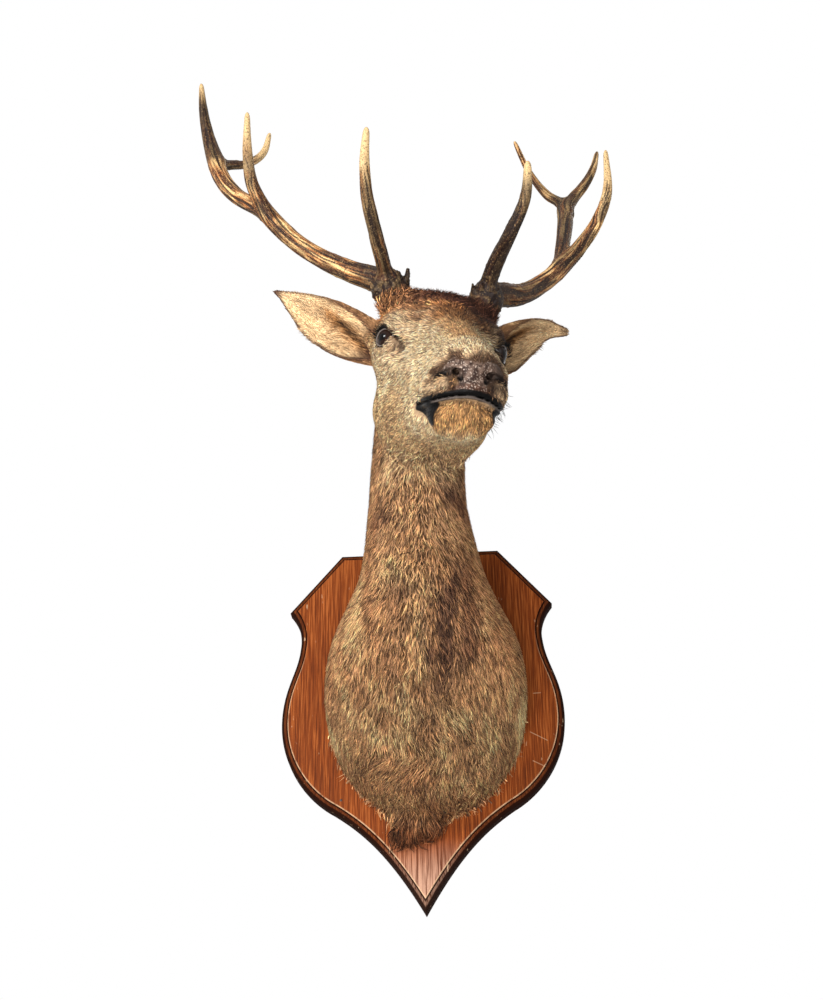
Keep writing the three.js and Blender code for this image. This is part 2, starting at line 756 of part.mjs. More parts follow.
// ---------------------------------------------------------------- head and neck
const HEAD_BOX = { low: vec(-190, -118, -190), high: vec(250, 118, 116) };
const MUZZLE_BOX = { low: vec(MOUTH.jawStart - 40, -80, -170), high: vec(260, 80, 40) };
const NECK_BOX = { low: vec(-170, -420, -230), high: vec(190, 70, 480) };
const TAB_BOX = { low: vec(-130, -210, -210), high: vec(140, 70, CHEST_TAB.topZ + 40) };

const headTilt = radians(HEAD_CUT.tiltDeg);
const headCutPoint = vec(HEAD_CUT.x, 0, 0);
const headCutNormal = vec(-Math.cos(headTilt), 0, -Math.sin(headTilt)); // towards the neck

// A ball at the eye's place, its radius grown by `grow`.
function eyeGeometry(side, grow) {
  const ball = new THREE.SphereGeometry(EYE.radius + grow, EYE.sides, EYE.rings);
  ball.translate(EYE.forward, side * EYE.aside, EYE.up);
  return ball;
}

function earOn(side, name) {
  const ear = earGeometry();
  const root = EAR.spine[0];
  ear.translate(-root.x, -root.y, -root.z);
  ear.rotateX(radians(EAR.liftDeg[name]));
  ear.translate(root.x, root.y, root.z);
  ear.scale(1, side, 1);
  return solidOf(facingOut(ear));
}

function addHead(group) {
  const forward = vec(1, 0, 0);
  const skinGeometry = meshOfField(fleshOnHead, HEAD_BOX.low, HEAD_BOX.high, CELL.head);
  const skin = solidOf(skinGeometry);
  const lips = solidOf(meshOfField(fleshOnHead, MUZZLE_BOX.low, MUZZLE_BOX.high, CELL.muzzle));
  const mouthDown = vec(MOUTH.slope, 0, -1);
  const mouthPoint = vec(MOUTH.cornerX, 0, MOUTH.cornerZ);
  const jawBlock = blockBeyond(mouthPoint, mouthDown)
    .intersect(blockBeyond(vec(MOUTH.jawStart, 0, 0), forward));
  const jawClearance = blockBeyond(mouthPoint.clone().add(vec(0, 0, GAP)), mouthDown)
    .intersect(blockBeyond(vec(MOUTH.jawStart - GAP, 0, 0), forward));
  const muzzleBlock = blockBeyond(vec(MOUTH.muzzleStart, 0, 0), forward);
  const skullBlock = blockBeyond(vec(MOUTH.muzzleStart - GAP, 0, 0), forward.clone().negate());

  let skull = skin.subtract(blockBeyond(headCutPoint, headCutNormal));
  for (const side of [-1, 1]) skull = skull.subtract(solidOf(eyeGeometry(side, GAP)));
  skull = skull.subtract(jawClearance).intersect(skullBlock);
  const muzzle = lips.subtract(jawClearance).intersect(muzzleBlock);
  addMesh(group, 'head', geometryOf(skull), 'faceCoat');
  addMesh(group, 'muzzle', geometryOf(muzzle), 'faceCoat');
  addMesh(group, 'lower_jaw', geometryOf(lips.intersect(jawBlock)), 'faceCoat');

  const headCutter = solidOf(swollen(skinGeometry, CUT_GROWTH));
  for (const [name, side] of [['right', -1], ['left', 1]]) {
    addMesh(group, `eye_${name}`, eyeGeometry(side, 0), 'eyeGlass');
    addMesh(group, `ear_${name}`, geometryOf(earOn(side, name).subtract(headCutter)), 'earCoat');
    addAntler(group, name, headCutter);
  }
}

function addNeck(group) {
  const neckTilt = radians(NECK_CUT.tiltDeg);
  const cutNormal = vec(0, -Math.sin(neckTilt), Math.cos(neckTilt)); // towards the head
  const cutPoint = vec(0, NECK_CUT.y, NECK_CUT.z);
  const headPoint = headCutPoint.clone().addScaledVector(headCutNormal, GAP).applyMatrix4(toMount);
  const headNormal = headCutNormal.clone().transformDirection(toMount);
  const offBoard = blockBeyond(vec(0, -BOARD.thickness - GAP, 0), vec(0, -1, 0));

  const neck = solidOf(meshOfField(fleshField, NECK_BOX.low, NECK_BOX.high, CELL.neck))
    .intersect(blockBeyond(headPoint, headNormal))
    .intersect(offBoard);
  const lower = neck
    .intersect(blockBeyond(cutPoint.clone().addScaledVector(cutNormal, -GAP), cutNormal.clone().negate()))
    .intersect(blockBeyond(vec(0, 0, CHEST_TAB.topZ), vec(0, 0, 1)));
  const tab = solidOf(meshOfField(fleshField, TAB_BOX.low, TAB_BOX.high, CELL.tab))
    .intersect(offBoard)
    .intersect(blockBeyond(vec(0, 0, CHEST_TAB.topZ - GAP), vec(0, 0, -1)));
  addMesh(group, 'neck_upper', geometryOf(neck.intersect(blockBeyond(cutPoint, cutNormal))), 'neckCoat');
  addMesh(group, 'neck_lower', geometryOf(lower), 'neckCoat');
  addMesh(group, 'chest_tab', geometryOf(tab), 'neckCoat');
}

// ---------------------------------------------------------------- assembly
const mount = new THREE.Group();
mount.name = 'stag_head_mount';
addBoard(mount);
mount.add(headGroup);
addHead(headGroup);
addNeck(mount);

export default mount;
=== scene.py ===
"""Red deer stag head mount: skin, coat, ears, eyes, antlers and shield board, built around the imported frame.

The shapes are in millimetres and turn into metres when a mesh is made; the finishes and the stage are in
metres. The mount's axes have +X to the stag's left, +Y into the wall and +Z up. The head has axes of its own,
with x forward along the face, y to the stag's left and z up, from the middle of the eyes.
"""

import logging
import math
from dataclasses import dataclass, field
from enum import Enum

import bpy
import numpy as np
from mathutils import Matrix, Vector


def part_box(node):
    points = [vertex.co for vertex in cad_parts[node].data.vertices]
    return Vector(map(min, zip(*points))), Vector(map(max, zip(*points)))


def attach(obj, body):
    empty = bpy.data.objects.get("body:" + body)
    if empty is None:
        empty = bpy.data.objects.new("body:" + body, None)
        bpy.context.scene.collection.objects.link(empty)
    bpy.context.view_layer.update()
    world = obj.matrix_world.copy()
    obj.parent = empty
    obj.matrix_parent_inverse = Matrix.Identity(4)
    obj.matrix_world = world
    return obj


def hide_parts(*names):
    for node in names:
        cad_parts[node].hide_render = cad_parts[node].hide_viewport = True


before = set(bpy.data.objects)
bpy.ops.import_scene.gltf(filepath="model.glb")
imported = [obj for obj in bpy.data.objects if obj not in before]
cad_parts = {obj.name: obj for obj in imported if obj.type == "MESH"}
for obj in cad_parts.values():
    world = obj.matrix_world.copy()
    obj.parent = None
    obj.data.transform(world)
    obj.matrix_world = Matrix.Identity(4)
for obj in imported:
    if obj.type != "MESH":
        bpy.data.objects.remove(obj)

import openvdb
from mathutils import Quaternion, Vector
from mathutils.geometry import tessellate_polygon

Array = np.ndarray
Material = bpy.types.Material
Socket = bpy.types.NodeSocket

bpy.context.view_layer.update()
LOG = logging.getLogger("stag")
MM = 0.001
BODY = "root"
FAR = 80.0


# ---------------------------------------------------------------- small maths
def unit(vectors: Array) -> Array:
    """Scale vectors to length one along the last axis."""
    return vectors / np.maximum(np.linalg.norm(vectors, axis=-1, keepdims=True), 1e-9)


def dot(a: Array, b: Array) -> Array:
    """Product of two arrays of vectors, row by row."""
    return np.sum(a * b, axis=1)


def smooth(low: float, high: float, value: Array) -> Array:
    """Rise smoothly from 0 at low to 1 at high, or fall where high is less than low."""
    share = np.clip((value - low) / (high - low), 0.0, 1.0)
    return share * share * (3.0 - 2.0 * share)


def bell(value: Array, middle: float, width: float) -> Array:
    """1 at a middle value, falling away on both sides over about the given width."""
    return np.exp(-(((value - middle) / width) ** 2))


def mix(a: Array, b: Array, share: Array) -> Array:
    """Mix two arrays of vectors or colours by a share for each row."""
    share = np.asarray(share)[..., None]
    return np.asarray(a) * (1.0 - share) + np.asarray(b) * share


def blend(a: Array, b: Array, width: float) -> Array:
    """Join two fields with a fillet of about the given width."""
    near = np.maximum(width - np.abs(a - b), 0.0) / width
    return np.minimum(a, b) - near * near * width / 4.0


def carve(a: Array, b: Array, width: float) -> Array:
    """Take field b out of field a, with a rounded lip of about the given width."""
    return -blend(-a, b, width)


def noise(points: Array, size: float, seed: int) -> Array:
    """Smooth value noise.

    Args:
        points: Points in up to three dimensions, one to a row.
        size: The distance between the noise's cells, in the points' units.
        seed: Picks one of many independent fields.

    Returns:
        One value from -1 to 1 for each point.
    """
    spot = np.asarray(points, np.float64) / size
    spot = np.hstack([spot, np.zeros((len(spot), 3 - spot.shape[1]))])
    low = np.floor(spot).astype(np.int64)
    share = spot - low
    share = share * share * (3.0 - 2.0 * share)
    total = np.zeros(len(spot))
    for corner in range(8):
        step = np.array([corner & 1, corner >> 1 & 1, corner >> 2 & 1])
        x, y, z = (low + step).T
        hashed = x * 73856093 ^ y * 19349663 ^ z * 83492791 ^ seed * 2654435761
        hashed = (hashed ^ hashed >> 13) * 1274126177
        value = (hashed ^ hashed >> 16) % 65536 / 32767.5 - 1.0
        total += np.prod(np.where(step, share, 1.0 - share), axis=1) * value
    return total


def curve(knots: list, shares: Array) -> Array:
    """Points on a smooth curve through knots, from share 0 at the first knot to 1 at the last."""
    knots = np.asarray(knots, float)
    padded = np.vstack([2 * knots[0] - knots[1], knots, 2 * knots[-1] - knots[-2]])
    spot = np.asarray(shares, float) * (len(knots) - 1)
    index = np.clip(np.floor(spot).astype(int), 0, len(knots) - 2)
    w = (spot - index)[:, None]
    p = [padded[index + k] for k in range(4)]
    gaps = [np.sqrt(np.linalg.norm(p[k + 1] - p[k], axis=1, keepdims=True)) for k in range(3)]
    rise = p[2] - p[1]
    start = (p[1] - p[0]) / gaps[0] - (p[2] - p[0]) / (gaps[0] + gaps[1]) + rise / gaps[1]
    end = rise / gaps[1] - (p[3] - p[1]) / (gaps[1] + gaps[2]) + (p[3] - p[2]) / gaps[2]
    start, end = start * gaps[1], end * gaps[1]
    return p[1] + start * w + (3 * rise - 2 * start - end) * w**2 + (start + end - 2 * rise) * w**3


def headings(knots: list, shares: Array, step: float = 1e-3) -> Array:
    """Directions along the curve through knots."""
    return unit(curve(knots, np.minimum(shares + step, 1)) - curve(knots, np.maximum(shares - step, 0)))


# ---------------------------------------------------------------- meshes
@dataclass
class MeshData:
    """Points, triangles and what rides on the points of one piece: values, a coat colour and an unwrap."""

    points: Array
    triangles: Array
    values: dict = field(default_factory=dict)
    coat: Array | None = None
    uv: Array | None = None

    def corners(self) -> list:
        """The first, second and third corner of every triangle."""
        return [self.points[self.triangles[:, k]] for k in range(3)]

    def middles(self) -> Array:
        """The middle of every triangle."""
        return self.points[self.triangles].mean(axis=1)

    def slants(self) -> Array:
        """Each triangle's normal, as long as twice its area."""
        a, b, c = self.corners()
        return np.cross(b - a, c - a)

    def facing_out(self) -> "MeshData":
        """Turn the triangles of a closed mesh so that they face out of it."""
        a, b, c = self.corners()
        if np.sum(a * np.cross(b, c)) < 0:
            self.triangles = self.triangles[:, ::-1]
        return self

    def joined(self, other: "MeshData") -> "MeshData":
        """Add another body's points and triangles to these."""
        points = np.concatenate([self.points, other.points])
        return MeshData(points, np.concatenate([self.triangles, other.triangles + len(self.points)]))


def make_piece(
    name: str,
    data: MeshData,
    material: Material,
    replaces: tuple = (),
    rounded: bool = True,
) -> None:
    """Turn arrays into an object that rides on the frame.

    Args:
        name: The piece's name.
        data: Points in millimetres, triangles and what rides on them.
        material: The piece's material.
        replaces: The CAD nodes that it stands for.
        rounded: Whether its faces are shaded as one smooth surface.
    """
    mesh = bpy.data.meshes.new(name)
    count, faces = len(data.points), len(data.triangles)
    mesh.vertices.add(count)
    mesh.vertices.foreach_set("co", (data.points * MM).astype(np.float32).ravel())
    mesh.loops.add(faces * 3)
    mesh.loops.foreach_set("vertex_index", data.triangles.astype(np.int32).ravel())
    mesh.polygons.add(faces)
    mesh.polygons.foreach_set("loop_start", np.arange(0, faces * 3, 3, dtype=np.int32))
    if data.uv is not None:
        layer = mesh.uv_layers.new(name="OFBake")
        layer.uv.foreach_set("vector", data.uv[data.triangles.ravel()].astype(np.float32).ravel())
    for key, values in data.values.items():
        mesh.attributes.new(key, "FLOAT", "POINT").data.foreach_set("value", values.astype(np.float32))
    if data.coat is not None:
        rgba = np.hstack([data.coat, np.ones((count, 1))]).astype(np.float32)
        mesh.attributes.new("coat_color", "FLOAT_COLOR", "POINT").data.foreach_set("color", rgba.ravel())
    mesh.update()
    mesh.validate()
    if rounded:
        mesh.shade_smooth()
    else:
        mesh.shade_flat()
    mesh.materials.append(material)
    piece = bpy.data.objects.new(name, mesh)
    bpy.context.scene.collection.objects.link(piece)
    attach(piece, BODY)
    if replaces:
        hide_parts(*replaces)
    LOG.info("%s: %d triangles", name, faces)


def closed_loft(rings: Array) -> MeshData:
    """Join rings of points into one closed body with a middle point at each end."""
    count, sides = rings.shape[:2]
    points = np.concatenate([rings.reshape(-1, 3), rings[:1].mean(axis=1), rings[-1:].mean(axis=1)])
    row, corner = np.meshgrid(np.arange(count - 1), np.arange(sides), indexing="ij")
    a, b = row * sides + corner, row * sides + (corner + 1) % sides
    c, d = b + sides, a + sides
    walls = np.concatenate([np.stack([a, b, c], -1).reshape(-1, 3), np.stack([a, c, d], -1).reshape(-1, 3)])
    turn = np.arange(sides)
    onward = (turn + 1) % sides
    start = np.stack([np.full(sides, count * sides), onward, turn], -1)
    last = (count - 1) * sides
    end = np.stack([np.full(sides, count * sides + 1), last + turn, last + onward], -1)
    return MeshData(points, np.concatenate([walls, start, end]))


def tube(centres: Array, radii: Array, sides: int) -> MeshData:
    """A closed round tube along centres, with a radius at each and a number of sides."""
    along = unit(np.gradient(centres, axis=0))
    side = np.zeros_like(along)
    guide = np.array([0.31, 0.22, 0.93])
    for i, heading in enumerate(along):
        guide = guide - heading * (guide @ heading)
        guide = guide / np.linalg.norm(guide)
        side[i] = guide
    angle = np.linspace(0, 2 * np.pi, sides, endpoint=False)[None, :, None]
    round_it = side[:, None] * np.cos(angle) + np.cross(along, side)[:, None] * np.sin(angle)
    return closed_loft(centres[:, None] + radii[:, None, None] * round_it)


# ---------------------------------------------------------------- axes of the head
@dataclass(frozen=True)
class HeadAxes:
    """Where the head is and how it is turned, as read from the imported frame."""

    middle: Array
    turn: Array

    EYES_AHEAD = 2.0
    MUZZLE_DROOP = math.radians(14.25)

    @classmethod
    def from_frame(cls) -> "HeadAxes":
        """Find the axes from the two eyes and the middle of the muzzle."""
        eyes = {side: cls.box_middle(f"eye_{side}") for side in ("left", "right")}
        left = unit(eyes["left"] - eyes["right"])
        between = (eyes["left"] + eyes["right"]) / 2
        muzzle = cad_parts["muzzle"].data
        points = np.empty(len(muzzle.vertices) * 3)
        muzzle.vertices.foreach_get("co", points)
        towards = (points.reshape(-1, 3).mean(axis=0) / MM) - between
        towards = unit(towards - left * (towards @ left))
        lift = np.cross(towards, left)
        forward = towards * math.cos(cls.MUZZLE_DROOP) + lift * math.sin(cls.MUZZLE_DROOP)
        turn = np.array([forward, left, np.cross(forward, left)])
        return cls(between - forward * cls.EYES_AHEAD, turn)

    @staticmethod
    def box_middle(node: str) -> Array:
        """Middle of a CAD node's box, in millimetres."""
        low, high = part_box(node)
        return (np.array(low) + np.array(high)) / 2 / MM

    def to_mount(self, points: Array) -> Array:
        """Move points from the head's axes to the mount's."""
        return np.asarray(points) @ self.turn + self.middle


# ---------------------------------------------------------------- rounded shapes in the head's axes
@dataclass(frozen=True)
class Ellipsoid:
    """A rounded lump or hollow."""

    at: tuple
    radii: tuple
    width: float
    both: bool = False

    def reach(self) -> tuple:
        """Lowest and highest corner of its box."""
        at, radii = np.array(self.at, float), np.array(self.radii, float)
        return at - radii, at + radii

    def field(self, x: Array, y: Array, z: Array) -> Array:
        """About the distance to its surface, negative inside."""
        a, b, c = self.radii
        u, v, w = (x - self.at[0]) / a, (y - self.at[1]) / b, (z - self.at[2]) / c
        reach = np.sqrt(u * u + v * v + w * w)
        slope = np.sqrt((u / a) ** 2 + (v / b) ** 2 + (w / c) ** 2) + 1e-9
        return reach * (reach - 1.0) / slope


@dataclass(frozen=True)
class Taper:
    """A limb with round ends of two radii."""

    start: tuple
    end: tuple
    start_radius: float
    end_radius: float
    width: float
    both: bool = False

    def reach(self) -> tuple:
        """Lowest and highest corner of its box."""
        ends, most = np.array([self.start, self.end], float), max(self.start_radius, self.end_radius)
        return ends.min(axis=0) - most, ends.max(axis=0) + most

    def field(self, x: Array, y: Array, z: Array) -> Array:
        """About the distance to its surface, negative inside."""
        start = np.array(self.start, float)
        axis = np.array(self.end, float) - start
        u, v, w = x - start[0], y - start[1], z - start[2]
        share = np.clip((u * axis[0] + v * axis[1] + w * axis[2]) / (axis @ axis), 0.0, 1.0)
        away = np.sqrt((u - share * axis[0]) ** 2 + (v - share * axis[1]) ** 2 + (w - share * axis[2]) ** 2)
        return away - (self.start_radius + (self.end_radius - self.start_radius) * share)


SKULL = [
    Ellipsoid((-70, 0, 2), (84, 66, 64), 1),  # brain case
    Ellipsoid((-16, 0, 18), (64, 70, 36), 22),  # forehead
    Ellipsoid((-64, 0, 52), (40, 58, 26), 18),  # crown and forelock
    Ellipsoid((-8, 58, 12), (36, 23, 25), 18, True),  # brow over the eye
    Ellipsoid((-6, 58, -18), (38, 20, 22), 18, True),  # rim under the eye
    Ellipsoid((-34, 60, -2), (26, 19, 28), 14, True),  # rim behind the eye
    Taper((-58, 58, -14), (76, 38, -42), 20, 14, 20, True),  # cheek bone
    Taper((-10, 0, 16), (182, 0, -34), 39, 27, 28),  # bridge of the nose
    Taper((40, 0, -44), (178, 0, -60), 48, 39, 26),  # upper jaw
    Ellipsoid((186, 0, -46), (46, 36, 29), 18),  # nose
    Ellipsoid((210, 0, -44), (24, 28, 22), 12),  # front of the nose
    Ellipsoid((204, 27, -50), (24, 17, 16), 10, True),  # wing of the nostril
    Ellipsoid((178, 28, -70), (46, 23, 19), 12, True),  # upper lip
    Ellipsoid((208, 0, -66), (25, 28, 19), 12),  # lip under the nose
    Ellipsoid((-36, 40, -62), (60, 28, 58), 28, True),  # chewing muscle
    Taper((-40, 0, -86), (182, 0, -93), 48, 32, 22),  # lower jaw
    Ellipsoid((184, 0, -98), (34, 37, 24), 14),  # chin
    Taper((-60, 40, 36), (-72, 58, 60), 27, 23, 18, True),  # stem under the antler
    Taper((-40, 34, -86), (110, 22, -90), 34, 27, 20, True),  # side of the lower jaw
    Ellipsoid((30, 0, -100), (84, 54, 31), 22),  # skin between the jaws
    Taper((28, 26, -106), (-30, 26, -122), 28, 30, 20, True),  # hair under the throat
    Taper((-88, 48, 6), (-110, 66, 13), 34, 24, 20, True),  # root of the ear
]
TEAR_PIT = Ellipsoid((36, 66, -10), (28, 9, 10), 14, True)
HEAD_BLEND = 46.0


@dataclass(frozen=True)
class NeckForm:
    """The neck and chest: egg-shaped sections along a curve from the board to the skull."""

    middles: tuple = (
        (5, 30, 36), (7, -50, 46), (9, -115, 80), (11, -175, 155), (10, -228, 240), (18, -280, 325),
        (32, -335, 392),
    )
    sizes: tuple = ((144, 192), (143, 190), (128, 160), (86, 132), (68, 104), (63, 88), (58, 72))
    egg: float = 0.06
    samples: int = 48
    tab_at: tuple = (-11, -36, -148)
    tab_half: tuple = (40, 17, 35)
    tab_round: float = 4
    tab_blend: float = 14

    def place(self, points: Array) -> dict:
        """Where points lie along and around the neck.

        Args:
            points: Points in the mount's axes.

        Returns:
            The section's values at each point, the run from 0 at the board to 1 in the skull, the offset
            from the section's middle and how far a point is past either end.
        """
        shares = np.linspace(0, 1, self.samples + 1)
        at, along = curve(self.middles, shares), headings(self.middles, shares)
        across = unit(np.array([1.0, 0, 0]) - along * along[:, :1])
        sizes = curve([(a, b, 0) for a, b in self.sizes], shares)
        runs = np.einsum("mnk,nk->mn", points[:, None] - at[None], along)
        away = np.linalg.norm(points[:, None] - at[None], axis=2)
        between = (runs[:, :-1] >= 0) & (runs[:, 1:] < 0)
        low = np.argmin(np.where(between, away[:, :-1], np.inf), axis=1)
        row = np.arange(len(points))
        held = between[row, low]
        low = np.where(held, low, np.where(runs[:, 0] < 0, 0, self.samples))
        high = np.minimum(low + 1, self.samples)
        share = np.where(held, runs[row, low] / np.where(held, runs[row, low] - runs[row, high], 1.0), 0.0)
        section = {"at": at, "across": across, "nape": unit(np.cross(across, along)), "sizes": sizes}
        found = {key: mix(values[low], values[high], share) for key, values in section.items()}
        found |= {"run": (low + share) / self.samples, "past": np.where(held, 0.0, runs[row, low])}
        return found | {"offset": points - found["at"]}

    def field(self, points: Array) -> Array:
        """About the distance to the neck's surface, negative inside."""
        p = self.place(points)
        width, depth = p["sizes"][:, 0], p["sizes"][:, 1]
        up = dot(p["offset"], p["nape"]) / depth
        width = width * (1 + self.egg * np.clip(up, -1.2, 1.2))
        across, past = dot(p["offset"], p["across"]) / width, p["past"] / p["sizes"][:, 0]
        reach = np.sqrt(across**2 + up**2 + past**2)
        slope = np.sqrt((across / width) ** 2 + (up / depth) ** 2 + (past / p["sizes"][:, 0]) ** 2) + 1e-9
        beyond = np.abs(points - np.array(self.tab_at)) - np.array(self.tab_half) + self.tab_round
        tab = np.linalg.norm(np.maximum(beyond, 0), axis=1) + np.minimum(beyond.max(axis=1), 0)
        return blend(reach * (reach - 1) / slope, tab - self.tab_round, self.tab_blend)


# ---------------------------------------------------------------- skin
def window(axes: list, low: Array, high: Array) -> tuple:
    """Slices of the grid lines between two corners."""
    return tuple(slice(*np.searchsorted(axis, ends)) for axis, ends in zip(axes, zip(low, high)))


def lines(axes: list, spans: tuple) -> tuple:
    """The grid lines in the slices, ready to combine into a block."""
    return np.ix_(*(axis[span] for axis, span in zip(axes, spans)))


@dataclass
class Lattice:
    """A field held on a grid whose spacing is closer where the face needs it."""

    axes: list
    values: Array

    def look(self, points: Array) -> Array:
        """The field at any points, in the head's axes."""
        index, share = [], []
        for k, axis in enumerate(self.axes):
            spot = np.clip(np.searchsorted(axis, points[:, k]) - 1, 0, len(axis) - 2)
            index.append(spot)
            share.append(np.clip((points[:, k] - axis[spot]) / (axis[spot + 1] - axis[spot]), 0, 1))
        total = 0.0
        for corner in range(8):
            step = [corner & 1, corner >> 1 & 1, corner >> 2 & 1]
            weight = np.prod([s if on else 1 - s for s, on in zip(share, step)], axis=0)
            total = total + weight * self.values[tuple(i + on for i, on in zip(index, step))]
        return total

    def slope(self, points: Array, step: float = 1.5) -> Array:
        """The field's direction of steepest rise, which is the way out of the skin."""
        moves = np.eye(3) * step
        return np.stack([self.look(points + m) - self.look(points - m) for m in moves], axis=1) / (2 * step)

    def settle(self, points: Array, height: Array, turns: int = 1) -> Array:
        """Move points to where the field has the wanted height over the skin."""
        for _ in range(turns):
            slope = self.slope(points)
            move = (height - self.look(points)) / np.maximum(dot(slope, slope), 0.2)
            points = points + slope * np.clip(move, -4, 4)[:, None]
        return points

    def surface(self) -> MeshData:
        """The zero surface as a closed mesh."""
        grid = openvdb.FloatGrid(FAR)
        grid.copyFromArray(np.ascontiguousarray(self.values, dtype=np.float32))
        spots, quads = grid.convertToQuads(isovalue=0.0)
        points = np.stack([np.interp(spots[:, k], np.arange(len(a)), a) for k, a in enumerate(self.axes)], 1)
        points = self.settle(points, np.zeros(len(points)))
        triangles = quads.astype(np.int64)[:, [0, 1, 2, 0, 2, 3]].reshape(-1, 3)
        return MeshData(points, triangles).facing_out()


def thinned(data: MeshData, share: float) -> MeshData:
    """Join the flattest triangles of a closed mesh until only a share of them is left."""
    mesh = bpy.data.meshes.new("thinned")
    mesh.from_pydata(data.points.tolist(), [], data.triangles.tolist())
    thing = bpy.data.objects.new("thinned", mesh)
    bpy.context.scene.collection.objects.link(thing)
    modifier = thing.modifiers.new("Thin", "DECIMATE")
    modifier.ratio = share
    made = thing.evaluated_get(bpy.context.evaluated_depsgraph_get()).to_mesh()
    made.calc_loop_triangles()
    points = np.empty(len(made.vertices) * 3, np.float32)
    triangles = np.empty(len(made.loop_triangles) * 3, np.int32)
    made.vertices.foreach_get("co", points)
    made.loop_triangles.foreach_get("vertices", triangles)
    bpy.data.objects.remove(thing)
    bpy.data.meshes.remove(mesh)
    return MeshData(points.reshape(-1, 3).astype(float), triangles.reshape(-1, 3).astype(np.int64))


def spaced(start: float, *runs: tuple) -> Array:
    """Positions along an axis from its start on, by (end, spacing) runs."""
    spots = [float(start)]
    for end, gap in runs:
        count = max(1, round((end - spots[-1]) / gap))
        spots.extend(np.linspace(spots[-1], end, count + 1)[1:])
    return np.array(spots)


@dataclass(frozen=True)
class EyeForm:
    """An eye's ball, the way it looks and the opening between its lids, on the stag's left."""

    middle: tuple = (0.5, 64.0, 0.0)
    radius: float = 18.5
    aside_deg: float = 54.0
    up_deg: float = 3.0
    slant_deg: float = 19.0
    half_length: float = 15.6
    upper: float = 10.6
    lower: float = 10.0
    lid: float = 2.6

    def axes(self) -> Array:
        """Rows: along the opening towards the nose, across it upwards, and out of the eye."""
        turn, lift, slant = (math.radians(a) for a in (self.aside_deg, self.up_deg, self.slant_deg))
        out = np.array([math.cos(turn) * math.cos(lift), math.sin(turn) * math.cos(lift), math.sin(lift)])
        front = np.array([math.sin(turn), -math.cos(turn), 0.0])
        top = np.cross(front, out)
        along = front * math.cos(slant) + top * math.sin(slant)
        return np.array([along, top * math.cos(slant) - front * math.sin(slant), out])

    def opening(self, shares: Array, upper: bool) -> Array:
        """Height of a lid's edge over the opening's long line, at shares from -1 to 1."""
        bow = np.maximum(1 - np.abs(shares) ** 2.2, 0.0)
        lean = 1 + 0.18 * shares
        return self.upper * bow * lean if upper else -self.lower * bow / lean

    def gap(self, x: Array, y: Array, z: Array) -> tuple:
        """Distance outside the opening's outline, and distance in front of the ball's middle."""
        a, b, c = (
            (x - self.middle[0]) * way[0] + (y - self.middle[1]) * way[1] + (z - self.middle[2]) * way[2]
            for way in self.axes()
        )
        share = np.clip(a / self.half_length, -1, 1)
        over, under = b - self.opening(share, True), self.opening(share, False) - b
        return np.maximum(np.maximum(over, under), np.abs(a) - self.half_length), c


@dataclass(frozen=True)
class MouthForm:
    """The line of the mouth and the lips along it."""

    corner_x: float = 131.0
    corner_z: float = -88.0
    front_z: float = -76.5
    half_width: float = 47.0
    gap: float = 0.55
    gap_depth: float = 5.5
    upper_lip: float = 6.4

    def line(self, y: Array) -> Array:
        """Height of the mouth's line at a distance aside: an arch, highest in the middle."""
        bow = np.cos(np.pi / 2 * np.minimum(np.abs(y) / self.half_width, 1.0))
        return self.corner_z + (self.front_z - self.corner_z) * bow

    def lower_band(self, x: Array) -> Array:
        """How far the bare lower lip reaches under the line, which is far at the corner."""
        return 4.6 + 26.0 * smooth(122, 174, x) * smooth(213, 189, x)


MOUTH = MouthForm()
EYE = EyeForm()
NECK = NeckForm()


